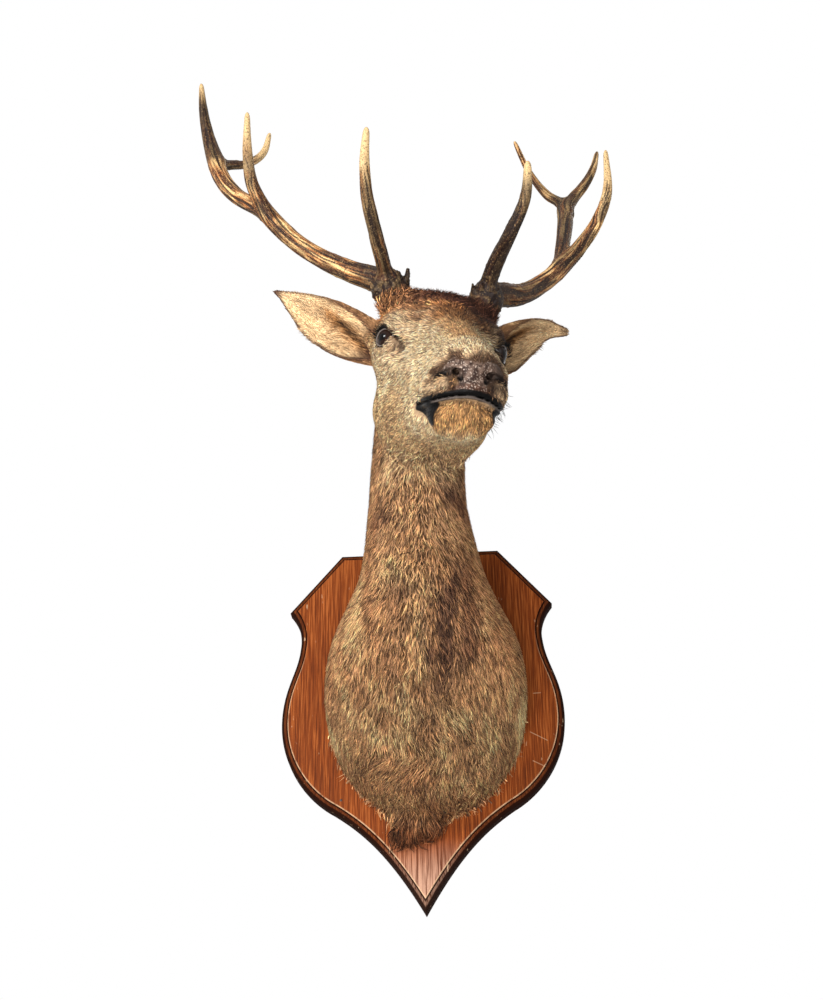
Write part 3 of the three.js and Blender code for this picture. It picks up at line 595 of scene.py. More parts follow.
@dataclass
class Hide:
    """The skin under the coat, one closed surface from the nose to the board."""

    head: HeadAxes
    board_face: float
    lattice: Lattice | None = None
    margin: float = 32.0
    coat_margin: float = 16.0
    board_gap: float = 0.6
    kept_share: float = 0.6
    lid_blend: float = 5.0
    opening_lip: float = 1.4

    NOSTRIL = (
        (230, 14.5, -59.5, 2.6), (228.6, 18.5, -53.2, 4.4), (227.8, 24.5, -52.4, 3.7),
        (226.4, 29.5, -53.8, 3.3), (223.6, 34, -56, 2.8), (218, 38, -59, 2.0), (210, 41, -62, 1.4),
    )
    CREASE = ((17, 64, 5), (20, 58, 1), (24, 52.5, -4.5), (29, 50.5, -10.6), (33, 53, -16))
    LID_FOLD = ((-24, 70, 8), (-8, 80, 22), (10, 72, 22), (24, 58, 12))
    UNDER_FOLD = ((-22, 72, -12), (-4, 77, -22), (14, 68, -20))

    def build(self) -> MeshData:
        """Make the field of the flesh, draw it in by the coat's depth, add the face's detail and mesh it."""
        axes = [
            spaced(-402, (-60, 4.4), (130, 2.1), (252, 1.6)),
            spaced(-116, (-74, 3.2), (74, 1.75), (248, 4.4)),
            spaced(-694, (-150, 4.4), (-128, 2.6), (104, 1.75)),
        ]
        values = np.full([len(a) for a in axes], FAR, np.float32)
        self.lattice = Lattice(axes, values)
        for shape in SKULL:
            self.place(shape)
        values[:] = blend(values, self.neck_field(axes), HEAD_BLEND)
        self.place(TEAR_PIT, True)
        spots = np.stack(np.meshgrid(*axes, indexing="ij"), -1).reshape(-1, 3)
        near = np.abs(values.ravel()) < self.coat_margin
        depth = np.zeros(len(spots), np.float32)
        depth[near] = coat_depth(spots[near])
        values += depth.reshape(values.shape)
        self.add_lids()
        self.add_mouth()
        self.add_folds()
        wall = self.head.to_mount(spots)[:, 1].reshape(values.shape) - (self.board_face - self.board_gap)
        values[:] = np.maximum(values, wall)
        return thinned(self.lattice.surface(), self.kept_share)

    def place(self, shape: Ellipsoid | Taper, hollow: bool = False) -> None:
        """Blend one shape into the grid, or carve it out, where it can make a difference."""
        low, high = shape.reach()
        if shape.both:
            low[1] = -high[1]
        axes = self.lattice.axes
        spans = window(axes, low - self.margin, high + self.margin)
        x, y, z = lines(axes, spans)
        part = self.lattice.values[spans]
        join = carve if hollow else blend
        part[:] = join(part, shape.field(x, np.abs(y) if shape.both else y, z), shape.width)

    def neck_field(self, axes: list) -> Array:
        """The neck's field, worked out on every fourth grid line and filled in between."""
        coarse = [np.append(a[:-1:4], a[-1]) for a in axes]
        spots = np.stack(np.meshgrid(*coarse, indexing="ij"), -1).reshape(-1, 3)
        made = NECK.field(self.head.to_mount(spots)).reshape([len(a) for a in coarse]).astype(np.float32)
        for k, (axis, rough) in enumerate(zip(axes, coarse)):
            spot = np.clip(np.searchsorted(rough, axis) - 1, 0, len(rough) - 2)
            share = (axis - rough[spot]) / (rough[spot + 1] - rough[spot])
            share = share.astype(np.float32).reshape([-1 if j == k else 1 for j in range(3)])
            made = np.take(made, spot, axis=k) * (1 - share) + np.take(made, spot + 1, axis=k) * share
        return made

    def add_lids(self) -> None:
        """Raise the lids over the eyes and open them."""
        values = self.lattice.values
        x, y, z = np.ix_(*self.lattice.axes)
        y = np.abs(y)
        ball = np.sqrt((x - EYE.middle[0]) ** 2 + (y - EYE.middle[1]) ** 2 + (z - EYE.middle[2]) ** 2)
        values[:] = blend(values, ball - (EYE.radius + EYE.lid), self.lid_blend)
        gap, ahead = EYE.gap(x, y, z)
        opening = np.maximum(np.maximum(gap, -ahead), (EYE.radius - 1.5) - ball)
        values[:] = carve(values, opening, self.opening_lip)

    def add_mouth(self) -> None:
        """Part the lips and fill them out on both sides of the gap."""
        axes = self.lattice.axes
        spans = window(axes, (MOUTH.corner_x - 12, -FAR * 9, -128), (FAR * 9, FAR * 9, -40))
        x, y, z = lines(axes, spans)
        part = self.lattice.values[spans]
        over = z - MOUTH.line(y)
        ahead = smooth(MOUTH.corner_x - 4, MOUTH.corner_x + 22, x)
        for swell, height, width in ((-1.5, 3.0, 2.6), (-1.6, -3.4, 2.4), (1.5, -9.5, 3.5)):
            part += swell * ahead * bell(over, height, width)
        gap = np.maximum(np.abs(over) - MOUTH.gap, np.maximum(-MOUTH.gap_depth - part, MOUTH.corner_x - x))
        part[:] = carve(part, gap, 2.0)

    def add_folds(self) -> None:
        """Open the nostrils and press in the tear creases and lid folds."""
        for a, b in zip(self.NOSTRIL, self.NOSTRIL[1:]):
            self.place(Taper(a[:3], b[:3], a[3], b[3], 2.2, True), True)
        self.place(Taper((226, 21, -53), (200, 14, -48), 4.8, 3.6, 3, True), True)
        self.place(Ellipsoid((217, 29, -63.5), (11, 10, 6.5), 6, True))
        folds = ((self.CREASE, 2.6, 0.9), (self.LID_FOLD, 2.2, 0.9), (self.UNDER_FOLD, 2.0, 0.8))
        for line, radius, sink in folds:
            pressed = self.lattice.settle(np.array(line, float), np.full(len(line), sink), 3)
            for a, b in zip(pressed, pressed[1:]):
                self.place(Taper(tuple(a), tuple(b), radius, radius, 3, True), True)


# ---------------------------------------------------------------- zones of the coat, in the head's axes
def mirrored(p: Array) -> Array:
    """The places with those on the right side of the head moved to the left."""
    return p * np.column_stack([np.ones(len(p)), np.where(p[:, 1] < 0, -1, 1), np.ones(len(p))])


def neckness(p: Array) -> Array:
    """How far a place belongs to the neck, from 0 on the face to 1 well down the neck."""
    x, _, z = p.T
    return smooth(0, 1, np.maximum((-62 - x) / 84, (-108 - z) / 70 * smooth(150, 70, x)))


def crown(p: Array) -> Array:
    """The dark forelock between and round the antlers."""
    x, y, z = p.T
    return smooth(62, -8, x + 0.7 * np.abs(y) - 0.1 * y) * smooth(22, 42, z) * smooth(-190, -120, x)


def over_mouth(p: Array) -> Array:
    """Height over the line of the mouth."""
    return p[:, 2] - MOUTH.line(p[:, 1])


def lips(p: Array) -> Array:
    """The bare black lips."""
    over = over_mouth(p) + 0.8 * noise(p, 5, 3)
    upper = smooth(1.2, -1.0, over - MOUTH.upper_lip) * (over > -0.5)
    lower = smooth(-1.6, 1.2, over + MOUTH.lower_band(p[:, 0])) * (over <= -0.5)
    return np.maximum(upper, lower) * smooth(MOUTH.corner_x - 6, MOUTH.corner_x + 1, p[:, 0])


def nose_edge(p: Array) -> Array:
    """About the distance inside the bare nose's outline, in the view along the face."""
    x, side, up = p[:, 0], np.abs(p[:, 1]), p[:, 2]
    half = 18 + 23 * smooth(-61, -54, up)
    top = -39.5 + 2 * smooth(6, 18, side) - 17 * smooth(24, 40, side)
    wing = np.hypot((side - 31) / 13, (up + 66) / 10)
    inside = np.minimum(np.minimum(half - side, top - up), (wing - 1) * 8)
    return inside + 1.5 * noise(p, 7, 5) - 9 * smooth(208, 190, x)


def bare_nose(p: Array) -> Array:
    """The bare pad between and round the nostrils."""
    return smooth(-1.5, 1.5, nose_edge(p)) * smooth(192, 202, p[:, 0]) * smooth(-2, 2, over_mouth(p))


def eye_ring(p: Array) -> Array:
    """Distance from the edge of the opening between the lids, along the skin."""
    gap, ahead = EYE.gap(*mirrored(p).T)
    return np.where(ahead > 0, gap, FAR)


def coat_depth(p: Array) -> Array:
    """How deep the coat is over the skin."""
    neck = neckness(p)
    bare = np.maximum(bare_nose(p), lips(p))
    return (1.3 + 7.2 * neck + 3.6 * crown(p) * (1 - neck)) * (1 - bare) + 0.2 * bare


# ---------------------------------------------------------------- colours of the coat
def tint(red: float, green: float, blue: float) -> Array:
    """A colour as linear light from its display values of 0 to 255."""
    shown = np.array([red, green, blue]) / 255.0
    return np.where(shown < 0.04045, shown / 12.92, ((shown + 0.055) / 1.055) ** 2.4)


class Hue(Enum):
    """The coat's and the skin's colours."""

    FACE = (250, 211, 167)
    BRIDGE = (184, 132, 82)
    BROW = (244, 216, 176)
    CHEEK = (218, 172, 124)
    FOREHEAD = (146, 96, 58)
    CROWN = (68, 42, 34)
    TEAR = (168, 134, 112)
    LID = (30, 22, 20)
    NOSE_RIM = (76, 50, 38)
    NOSE = (98, 80, 70)
    NOSE_DARK = (46, 33, 28)
    LIP = (9, 8, 8)
    LIP_RIM = (92, 82, 76)
    CHIN = (212, 160, 106)
    JAW = (240, 194, 146)
    THROAT = (182, 138, 100)
    NECK = (182, 136, 96)
    STRAW = (222, 180, 130)
    NECK_DARK = (84, 57, 46)
    BELLY = (174, 120, 82)
    TAB = (108, 66, 42)
    EAR_BACK = (158, 116, 80)
    EAR = (220, 184, 140)
    EAR_HOLLOW_SHADE = (172, 116, 62)

    def light(self) -> Array:
        """The colour as linear light."""
        return tint(*self.value)

    def to(self, other: "Hue", share: Array) -> Array:
        """A row for each share of the way from this hue to another."""
        return mix(self.light()[None], other.light()[None], share)


def painted(colour: Array, *layers: tuple) -> Array:
    """Lay hues over colours in turn, each given as the hue or its rows and the share it covers."""
    for hue, share in layers:
        colour = mix(colour, hue.light() if isinstance(hue, Hue) else hue, share)
    return colour


def near_line(p: Array, line: tuple, reach: float) -> Array:
    """1 on a line of points on both sides of the head, falling to 0 at a distance of reach."""
    away = np.full(len(p), np.inf)
    for a, b in zip(line, line[1:]):
        away = np.minimum(away, Taper(a[:3], b[:3], 0, 0, 1).field(*mirrored(p).T))
    return smooth(reach, reach * 0.35, away)


def nostril(p: Array) -> Array:
    """1 in and along the nostrils."""
    return near_line(p, Hide.NOSTRIL[:6], 6.2)


def head_colour(p: Array) -> Array:
    """Colour of the coat on the head, in the head's axes."""
    x, y, z = p.T
    side, over = np.abs(y), over_mouth(p)
    wide, small, fine = noise(p, 34, 11), noise(p, 9, 12), noise(p, 5, 14)
    bridge = smooth(30, 12, side + 6 * small) * smooth(200, 170, x) * smooth(-60, -30, z + 0.12 * x)
    top = smooth(104, 46, x + 0.6 * side - 0.12 * y + 16 * small + 12 * wide) * smooth(12, 26, z + 4 * small)
    spots = smooth(0.0, 0.5, noise(p, 5, 16) + 0.3 * small) * smooth(0.2, 0.9, top)
    brow = bell(x, 6, 22) * bell(side, 56, 13) * bell(z, 23, 10)
    under = smooth(-2, -8, over) * smooth(140, 186, x + 8 * small) * smooth(-126, -108, z + 5 * small)
    patch = crown(p + np.column_stack([14 * small + 10 * wide, 0 * small, 8 * small]))
    patch = patch + 0.25 * noise(p, 5, 13)
    patch = patch + 0.011 * y * smooth(6, 24, z + 5 * small) * smooth(96, 60, x + 8 * wide)
    tear = smooth(17, 8, np.sqrt(((x - 28) / 1.1) ** 2 + (side - 60) ** 2 + ((z + 10) / 1.3) ** 2))
    rim = smooth(-12, -5, nose_edge(p) + 4.0 * small + 4.0 * fine) * smooth(184, 200, x) * (over > 0)
    bump = bell(side, 29, 10.0) * bell(z, -64, 5.0) * smooth(190, 200, x)
    wing = bell(side, 41, 6.0) * bell(z, -65, 8.0) * smooth(190, 198, x)
    right = smooth(24, 10, y)
    pad = bare_nose(p) * (1 - smooth(0.35, 0.7, bump))
    mottle = Hue.NOSE.to(Hue.NOSE_DARK, smooth(-0.2, 0.5, noise(p, 6, 21)))
    lip_edge = smooth(6.5, 2.5, over + 2.4 * small - MOUTH.upper_lip) * smooth(176, 196, x) * (over > 0)
    grey = smooth(0.8, 2.0, -over) * smooth(4.2, 3.0, -over) * smooth(196, 208, x)
    upper = smooth(-2, 6, z + 0.3 * (14 - x))
    # The lids' dark ring, wider above the eye; on the stag's left it reaches about 11 mm further in front of
    # the eye: painted shadow in the socket.
    socket_shadow = 11.0 * smooth(0, 8, y) * smooth(-4, 16, x)
    lid = smooth(4.4 + 3.2 * upper + socket_shadow, 1.2 + 2.6 * upper, eye_ring(p) + 0.8 * small)
    return painted(
        np.tile(Hue.FACE.light(), (len(p), 1)),
        (Hue.CHEEK, 0.75 * smooth(-46, -84, z + 8 * wide) * smooth(120, 60, x)),
        (Hue.CHEEK, 0.8 * smooth(-20, -60, x) * smooth(40, 60, side)),
        (Hue.BRIDGE, 0.75 * bridge),
        (Hue.FOREHEAD, 0.9 * top),
        (Hue.CROWN, 0.7 * spots),
        (Hue.BROW, np.clip(1.3 * brow, 0, 1)),
        (Hue.JAW, smooth(-112, -130, z) * smooth(172, 130, x)),
        (Hue.CHIN.to(Hue.NOSE_RIM, 0.55 * smooth(0.15, 0.7, noise(p, 6, 15))), under),
        (Hue.CROWN, 0.95 * smooth(0.12, 0.8, patch)),
        (Hue.TEAR, 0.5 * tear),
        (Hue.LID, 0.85 * near_line(p, Hide.CREASE, 5.4)),
        (Hue.LID, 0.6 * near_line(p, ((-10, 78, -13), (-17, 79, -16)), 4.5)),
        (Hue.NOSE_RIM, 0.92 * rim),
        (Hue.NOSE_RIM, np.clip(1.2 * wing, 0, 0.8) * smooth(-0.3, 0.2, fine + small)),
        (Hue.CHIN, np.clip(bump, 0, 0.7) * smooth(0.15, -0.3, fine + 0.4 * small) * right),
        (Hue.NOSE_DARK, np.clip(1.2 * bump, 0, 0.8) * (1 - right)),
        (painted(mottle, (Hue.LIP, 0.7 * smooth(12, 30, y + 5 * small))), pad),
        # Black in and along the nostrils: their dark skin, and painted shade in the openings.
        (Hue.LIP, nostril(p)),
        (Hue.NOSE_RIM, 0.75 * lip_edge),
        (Hue.LIP, lips(p)),
        (Hue.LIP_RIM, 0.75 * grey),
        (Hue.LID, 0.95 * lid),
    )


NECK_PATCHES = (
    (54, 60, 27, 58, 1.0), (32, 5, 15, 30, 0.6), (10, -40, 12, 26, 0.45), (-16, 90, 10, 22, 0.9),
    (-28, 30, 10, 40, 0.4), (-30, 196, 14, 22, 0.7), (-10, 240, 12, 18, 0.7), (56, 226, 20, 26, 0.9),
)


def on_nape(m: Array) -> Array:
    """How far towards the back of the neck a place lies, in the mount's axes."""
    return (0.55 * (m[:, 1] + 130) + 0.83 * (m[:, 2] - 110)) / 120


def neck_colour(p: Array, m: Array) -> Array:
    """Colour of the coat on the neck and chest, from places in the head's and the mount's axes."""
    x, y, z = m.T
    wide, small = noise(m, 70, 31), noise(m, 12, 33)
    long = noise(np.column_stack([x, y, 0.22 * z]), 14, 32)
    patch = np.zeros(len(m))
    for spot_x, spot_z, half_wide, half_high, share in NECK_PATCHES:
        patch += share * bell(x - 12 * small, spot_x, half_wide) * bell(z + 20 * wide, spot_z, half_high)
    patch = patch * smooth(-50, -95, y) * np.clip(0.9 + 1.5 * long, 0.15, 1.6)
    return painted(
        Hue.NECK.to(Hue.STRAW, smooth(-0.2, 0.9, 0.7 * long + 0.6 * wide)),
        (Hue.NECK_DARK, 0.34 * smooth(0.0, 0.9, -long + 0.5 * wide)),
        (Hue.THROAT, 0.8 * smooth(120, 200, z) * smooth(0, -60, p[:, 2])),
        (Hue.NECK_DARK, np.clip(1.4 * patch, 0, 0.92)),
        (Hue.BELLY, 0.4 * smooth(-26, -44, x + 10 * small) * smooth(-20, 30, z)),
        (Hue.BELLY, 0.5 * smooth(48, 86, x + 8 * small) * smooth(-20, 60, z)),
        (Hue.BELLY, 0.6 * smooth(-60, -135, z + 14 * small)),
        (Hue.NECK_DARK, 0.45 * smooth(0.2, 0.9, on_nape(m))),
        (Hue.TAB, smooth(-128, -158, z + 6 * small) * smooth(54, 42, np.abs(x + 11))),
    )


def coat_colour(p: Array, m: Array) -> Array:
    """Colour of the coat anywhere, from places in the head's and the mount's axes."""
    edge = neckness(p + 10 * noise(p, 26, 41)[:, None])
    return mix(head_colour(p), neck_colour(p, m), edge)


# ---------------------------------------------------------------- hair
@dataclass
class Tufts:
    """Tufts of hair as thin closed spindles of three sides.

    paths holds the middle of each tuft's root, rings and tip; out holds the way out of the skin.
    """

    paths: Array
    out: Array
    widths: Array
    colours: Array
    places: Array
    thickness: float = 0.42
    patch: float = 0.0015

    CORNERS = ((-1.0, -0.3), (1.0, -0.3), (0.0, 1.0))

    @staticmethod
    def faces(rings: int) -> Array:
        """The triangles of one tuft of so many rings."""
        last = 3 * rings - 2
        found = []
        for k, after in ((0, 1), (1, 2), (2, 0)):
            found.append([0, 1 + after, 1 + k])
            for ring in range(rings - 1):
                a, b = 1 + 3 * ring + k, 1 + 3 * ring + after
                found += [[a, b, b + 3], [a, b + 3, a + 3]]
            found.append([last + k, last + after, last + 3])
        return np.array(found)

    def mesh(self, picked: Array) -> MeshData:
        """Build the picked tufts' bodies.

        Args:
            picked: Indices of the tufts.

        Returns:
            The bodies with their colours and their patches on the unwrap.
        """
        paths, out = self.paths[picked], self.out[picked]
        count, stops = paths.shape[:2]
        along = unit(np.gradient(paths, axis=1))
        side = unit(np.cross(along, out[:, None]))
        rise = np.cross(side, along)
        rise *= np.sign(np.sum(rise * out[:, None], axis=2, keepdims=True) + 1e-9)
        shares = np.linspace(0, 1, stops)
        points = [paths[:, 0]]
        patch = [(0.0, -1.0)]
        for k in range(1, stops - 1):
            wide = (self.widths[picked] * (1 - shares[k]) ** 0.6 * 0.62)[:, None]
            for across, up in self.CORNERS:
                lift = rise[:, k] * wide * up * self.thickness * 2
                points.append(paths[:, k] + side[:, k] * wide * across + lift)
                patch.append((across * (1 - shares[k]), 2 * shares[k] - 1))
        points = np.stack([*points, paths[:, -1]], axis=1)
        patch = np.array([*patch, (0.0, 1.0)])
        faces = self.faces(stops - 2)
        triangles = np.arange(count)[:, None, None] * len(patch) + faces[None]
        share = np.concatenate([[0.0], np.repeat(shares[1:-1], 3), [1.0]])
        # Each tuft is darker at its root and paler than its own colour at its tip: partly the hair's banding,
        # partly painted shade between the tufts and a painted highlight on the tips.
        colours = np.clip(self.colours[picked][:, None] * (0.26 + 0.98 * share)[None, :, None], 0, 1)
        uv = self.places[picked][:, None] + patch[None] * self.patch
        return MeshData(
            points.reshape(-1, 3), triangles.reshape(-1, 3), {}, colours.reshape(-1, 3), uv.reshape(-1, 2)
        )


@dataclass
class Coat:
    """The coat over the head, neck and chest: where its tufts root, how they lie and how they look."""

    hide: Hide
    skin: MeshData
    seed: int = 7

    def direction(self, p: Array) -> Array:
        """Which way the hair lies, in the head's axes, before it is laid along the skin."""
        x, y, z = p.T
        side, sign, one = np.abs(y), np.sign(y), np.ones(len(p))
        flow = np.column_stack([
            -one,
            0.35 * sign * smooth(150, 40, x) * smooth(0, 30, side),
            -0.5 * smooth(10, -50, z) * smooth(16, 44, side),
        ])
        flow = mix(flow, np.array([-0.75, 0, -0.8]), smooth(-2, -8, over_mouth(p)) * smooth(120, 150, x))
        eye = np.column_stack([x, side, z]) - np.array(EYE.middle)
        near = np.exp(-((np.linalg.norm(eye, axis=1) / 27) ** 6))[:, None]
        flow = flow + 1.1 * unit(eye) * np.column_stack([one, sign, one]) * near
        lock = np.column_stack([0.75 * one, 0.3 * sign, 0.75 * one])
        lock = mix(lock, np.array([0.25, 0, 1.0]), bell(x, -70, 34) * bell(side, 60, 26))
        flow = mix(flow, lock, crown(p))
        ear = np.linalg.norm(np.column_stack([x + 100, side - 66, z - 8]), axis=1)
        outward = np.column_stack([-0.5 * one, 0.9 * sign, 0.35 * one])
        flow = mix(flow, outward, np.exp(-((ear / 30) ** 4)))
        m = self.hide.head.to_mount(p)
        whorl = m - np.array([-26.0, -150, -96])
        swirl = bell(np.linalg.norm(whorl, axis=1), 0, 46) * np.where(whorl[:, 2] < 0, -0.9, 0.5)
        fan = 0.75 * np.clip((m[:, 0] - 4) / 110, -1, 1) * smooth(40, -110, m[:, 2])
        neck = np.column_stack([fan + swirl, 0.55 + 0.7 * smooth(0.1, 0.7, on_nape(m)), -one])
        share = neckness(p)
        flow = mix(unit(flow), unit(neck @ self.hide.head.turn.T), share)
        wander = np.stack([noise(p, 38, 51 + k) for k in range(3)], axis=1)
        close = np.stack([noise(p, 11, 61 + k) for k in range(3)], axis=1)
        return flow + 0.22 * wander + (0.16 + 0.16 * share[:, None]) * close

    def roots(self, density: Array, dice: np.random.Generator) -> Array:
        """Scatter roots over the skin.

        Args:
            density: Tufts to a square millimetre at each of the skin's triangles.
            dice: Source of random numbers.

        Returns:
            The roots' places.
        """
        a, b, c = (self.skin.points[self.skin.triangles[:, k]] for k in range(3))
        area = np.linalg.norm(np.cross(b - a, c - a), axis=1) / 2
        total = np.cumsum(area * density)
        marks = np.arange(0.5, total[-1], 1.0) + dice.uniform(-0.5, 0.5, int(total[-1] + 0.5))
        face = np.clip(np.searchsorted(total, marks), 0, len(area) - 1)
        u, v = dice.uniform(0, 1, (2, len(face)))
        flip = u + v > 1
        u, v = np.where(flip, 1 - u, u)[:, None], np.where(flip, 1 - v, v)[:, None]
        return a[face] * (1 - u - v) + b[face] * u + c[face] * v

    def grow(
        self,
        roots: Array,
        lengths: Array,
        heights: Array,
        stops: int,
        jitter: float,
        dice: np.random.Generator,
    ) -> tuple:
        """Lay tufts along the skin.

        Args:
            roots: Where they root.
            lengths: Their lengths.
            heights: How far each tip stands over the skin.
            stops: Points along each tuft.
            jitter: How unevenly they lie.
            dice: Source of random numbers.

        Returns:
            The paths, and the way out of the skin at the roots.
        """
        lattice = self.hide.lattice
        spot = lattice.settle(roots, np.full(len(roots), -0.5))
        out = unit(lattice.slope(spot, 2.5))
        lean = dice.normal(0, jitter, (len(roots), 3))
        path, first_out = [spot], out
        for stop in range(1, stops):
            share = stop / (stops - 1)
            way = self.direction(spot) + lean
            way = unit(way - out * dot(way, out)[:, None])
            spot = spot + way * (lengths / (stops - 1))[:, None]
            spot = lattice.settle(spot, heights * share ** 0.8 - 0.5 * (1 - share))
            out = unit(lattice.slope(spot, 2.5))
            path.append(spot)
        return np.stack(path, axis=1), first_out

    def unwrap(self, p: Array) -> Array:
        """Where roots lie on an unwrap round the head and the neck."""
        neck = neckness(p) > 0.5
        turn = np.arctan2(p[:, 1], p[:, 2] + 40 + 0.1 * p[:, 0])
        run = NECK.place(self.hide.head.to_mount(p))
        round_neck = np.arctan2(dot(run["offset"], run["across"]), dot(run["offset"], run["nape"]))
        angle = np.where(neck, round_neck, turn) / (2 * np.pi) + 0.5
        along = np.where(neck, 0.02 + 0.5 * run["run"], 0.56 + 0.4 * np.clip((p[:, 0] + 130) / 370, 0, 1))
        return np.column_stack([0.02 + 0.96 * angle, along])

    def tinted(self, p: Array, dice: np.random.Generator, spread: float) -> Array:
        """Colours of tufts, each a little paler or darker than the coat round it."""
        m = self.hide.head.to_mount(p)
        shade = dice.normal(0, 1, (len(p), 1))
        fleck = dice.uniform(0, 1, (len(p), 1))
        lock = noise(np.column_stack([m[:, 0], m[:, 1], 0.16 * m[:, 2]]), 2.0, 42)[:, None]
        factor = np.minimum(np.exp(spread * (0.8 * shade + 2.4 * lock)), 1.6)
        cool, warm = np.array([0.27, 0.28, 0.33]), np.array([1.7, 1.6, 1.42])
        return coat_colour(p, m) * factor * np.where(fleck < 0.3, cool, np.where(fleck > 0.7, warm, 1.0))

    def face_tufts(self) -> Tufts:
        """Short flat hair on the face, chin and brow."""
        dice = np.random.default_rng(self.seed)
        middle = self.skin.middles()
        bare = np.maximum(np.maximum(bare_nose(middle), lips(middle)), eye_ring(middle) < 1.0)
        share = (1 - neckness(middle)) * (1 - crown(middle))
        lidless = np.abs(eye_ring(middle)) > 0.5
        p = self.roots(0.42 * np.clip(1.4 * share - 0.1, 0, 1) * (1 - bare) * lidless, dice)
        full = neckness(p)
        length = 6.0 + 4.5 * smooth(200, 120, p[:, 0]) + 3.0 * smooth(-60, -110, p[:, 2]) + 8 * full
        length = length * (1 - 0.45 * smooth(14, 4, eye_ring(p))) * dice.uniform(0.7, 1.3, len(p))
        height = (coat_depth(p) + 0.2) * dice.uniform(0.5, 1.25, len(p))
        paths, out = self.grow(p, length, height, 3, 0.17, dice)
        width = (0.76 + 0.3 * full) * dice.uniform(0.7, 1.25, len(p))
        return Tufts(paths, out, width, self.tinted(p, dice, 0.32), self.unwrap(p))

    def crown_tufts(self) -> Tufts:
        """The tousled forelock and the hair round the antlers' stems."""
        dice = np.random.default_rng(self.seed + 1)
        p = self.roots(0.30 * smooth(0.08, 0.4, crown(self.skin.middles())), dice)
        length = (8 + 9 * crown(p)) * dice.uniform(0.6, 1.25, len(p))
        height = (coat_depth(p) + 1) * dice.uniform(0.5, 1.6, len(p))
        paths, out = self.grow(p, length, height, 4, 0.42, dice)
        width = 1.3 * dice.uniform(0.7, 1.3, len(p))
        gold = np.where(dice.uniform(0, 1, (len(p), 1)) < 0.16 + 0.2 * smooth(20, -50, p[:, 1:2]), 2.2, 0.85)
        return Tufts(paths, out, width, self.tinted(p, dice, 0.5) * gold, self.unwrap(p))

    def neck_tufts(self) -> Tufts:
        """Long coarse hair on the neck and chest."""
        dice = np.random.default_rng(self.seed + 2)
        middle = self.skin.middles()
        free = self.hide.head.to_mount(middle)[:, 1] < self.hide.board_face + 2.0
        p = self.roots(0.316 * smooth(0.15, 0.5, neckness(middle)) * free, dice)
        full = neckness(p)
        length = 10 + 8 * full + 3 * smooth(80, -60, self.hide.head.to_mount(p)[:, 2])
        length = length * dice.uniform(0.6, 1.3, len(p))
        stray = (dice.uniform(0, 1, len(p)) < 0.23) * dice.uniform(2, 16, len(p))
        height = coat_depth(p) * dice.uniform(0.25, 1.5, len(p)) + stray * full
        paths, out = self.grow(p, length * (1 + 0.3 * (stray > 0)), height, 3, 0.24, dice)
        width = (0.8 + 0.2 * full) * dice.uniform(0.65, 1.3, len(p)) * (1 + 0.5 * (stray > 0))
        return Tufts(paths, out, width, self.tinted(p, dice, 0.72), self.unwrap(p))

    def whiskers(self) -> Tufts:
        """Stiff dark hairs standing out of the lips and the chin."""
        dice = np.random.default_rng(self.seed + 3)
        middle = self.skin.middles()
        near = smooth(30, 8, np.abs(over_mouth(middle) + 6)) * smooth(158, 186, middle[:, 0])
        p = self.roots(0.02 * near * (1 - bare_nose(middle)), dice)
        length = dice.uniform(8, 20, len(p))
        paths, out = self.grow(p, 0.55 * length, 0.8 * length, 4, 0.5, dice)
        colours = np.tile(Hue.LIP.light(), (len(p), 1)) * dice.uniform(0.7, 1.6, (len(p), 1))
        return Tufts(paths, out, np.full(len(p), 0.5), colours, self.unwrap(p))


# ---------------------------------------------------------------- ears
EAR_WIDTHS = {"right": (22, 27, 31, 33, 30.5, 24.5, 14, 2.5), "left": (24, 28, 30, 28, 23, 17, 11, 5)}
EAR_SPINES = {
    "right": ((-86, 50, 2), (-106, 108, 18), (-132, 160, 34), (-176, 207, 63)),
    "left": ((-86, 50, 4), (-104, 106, 29), (-129, 156, 51), (-166, 198, 62)),
}


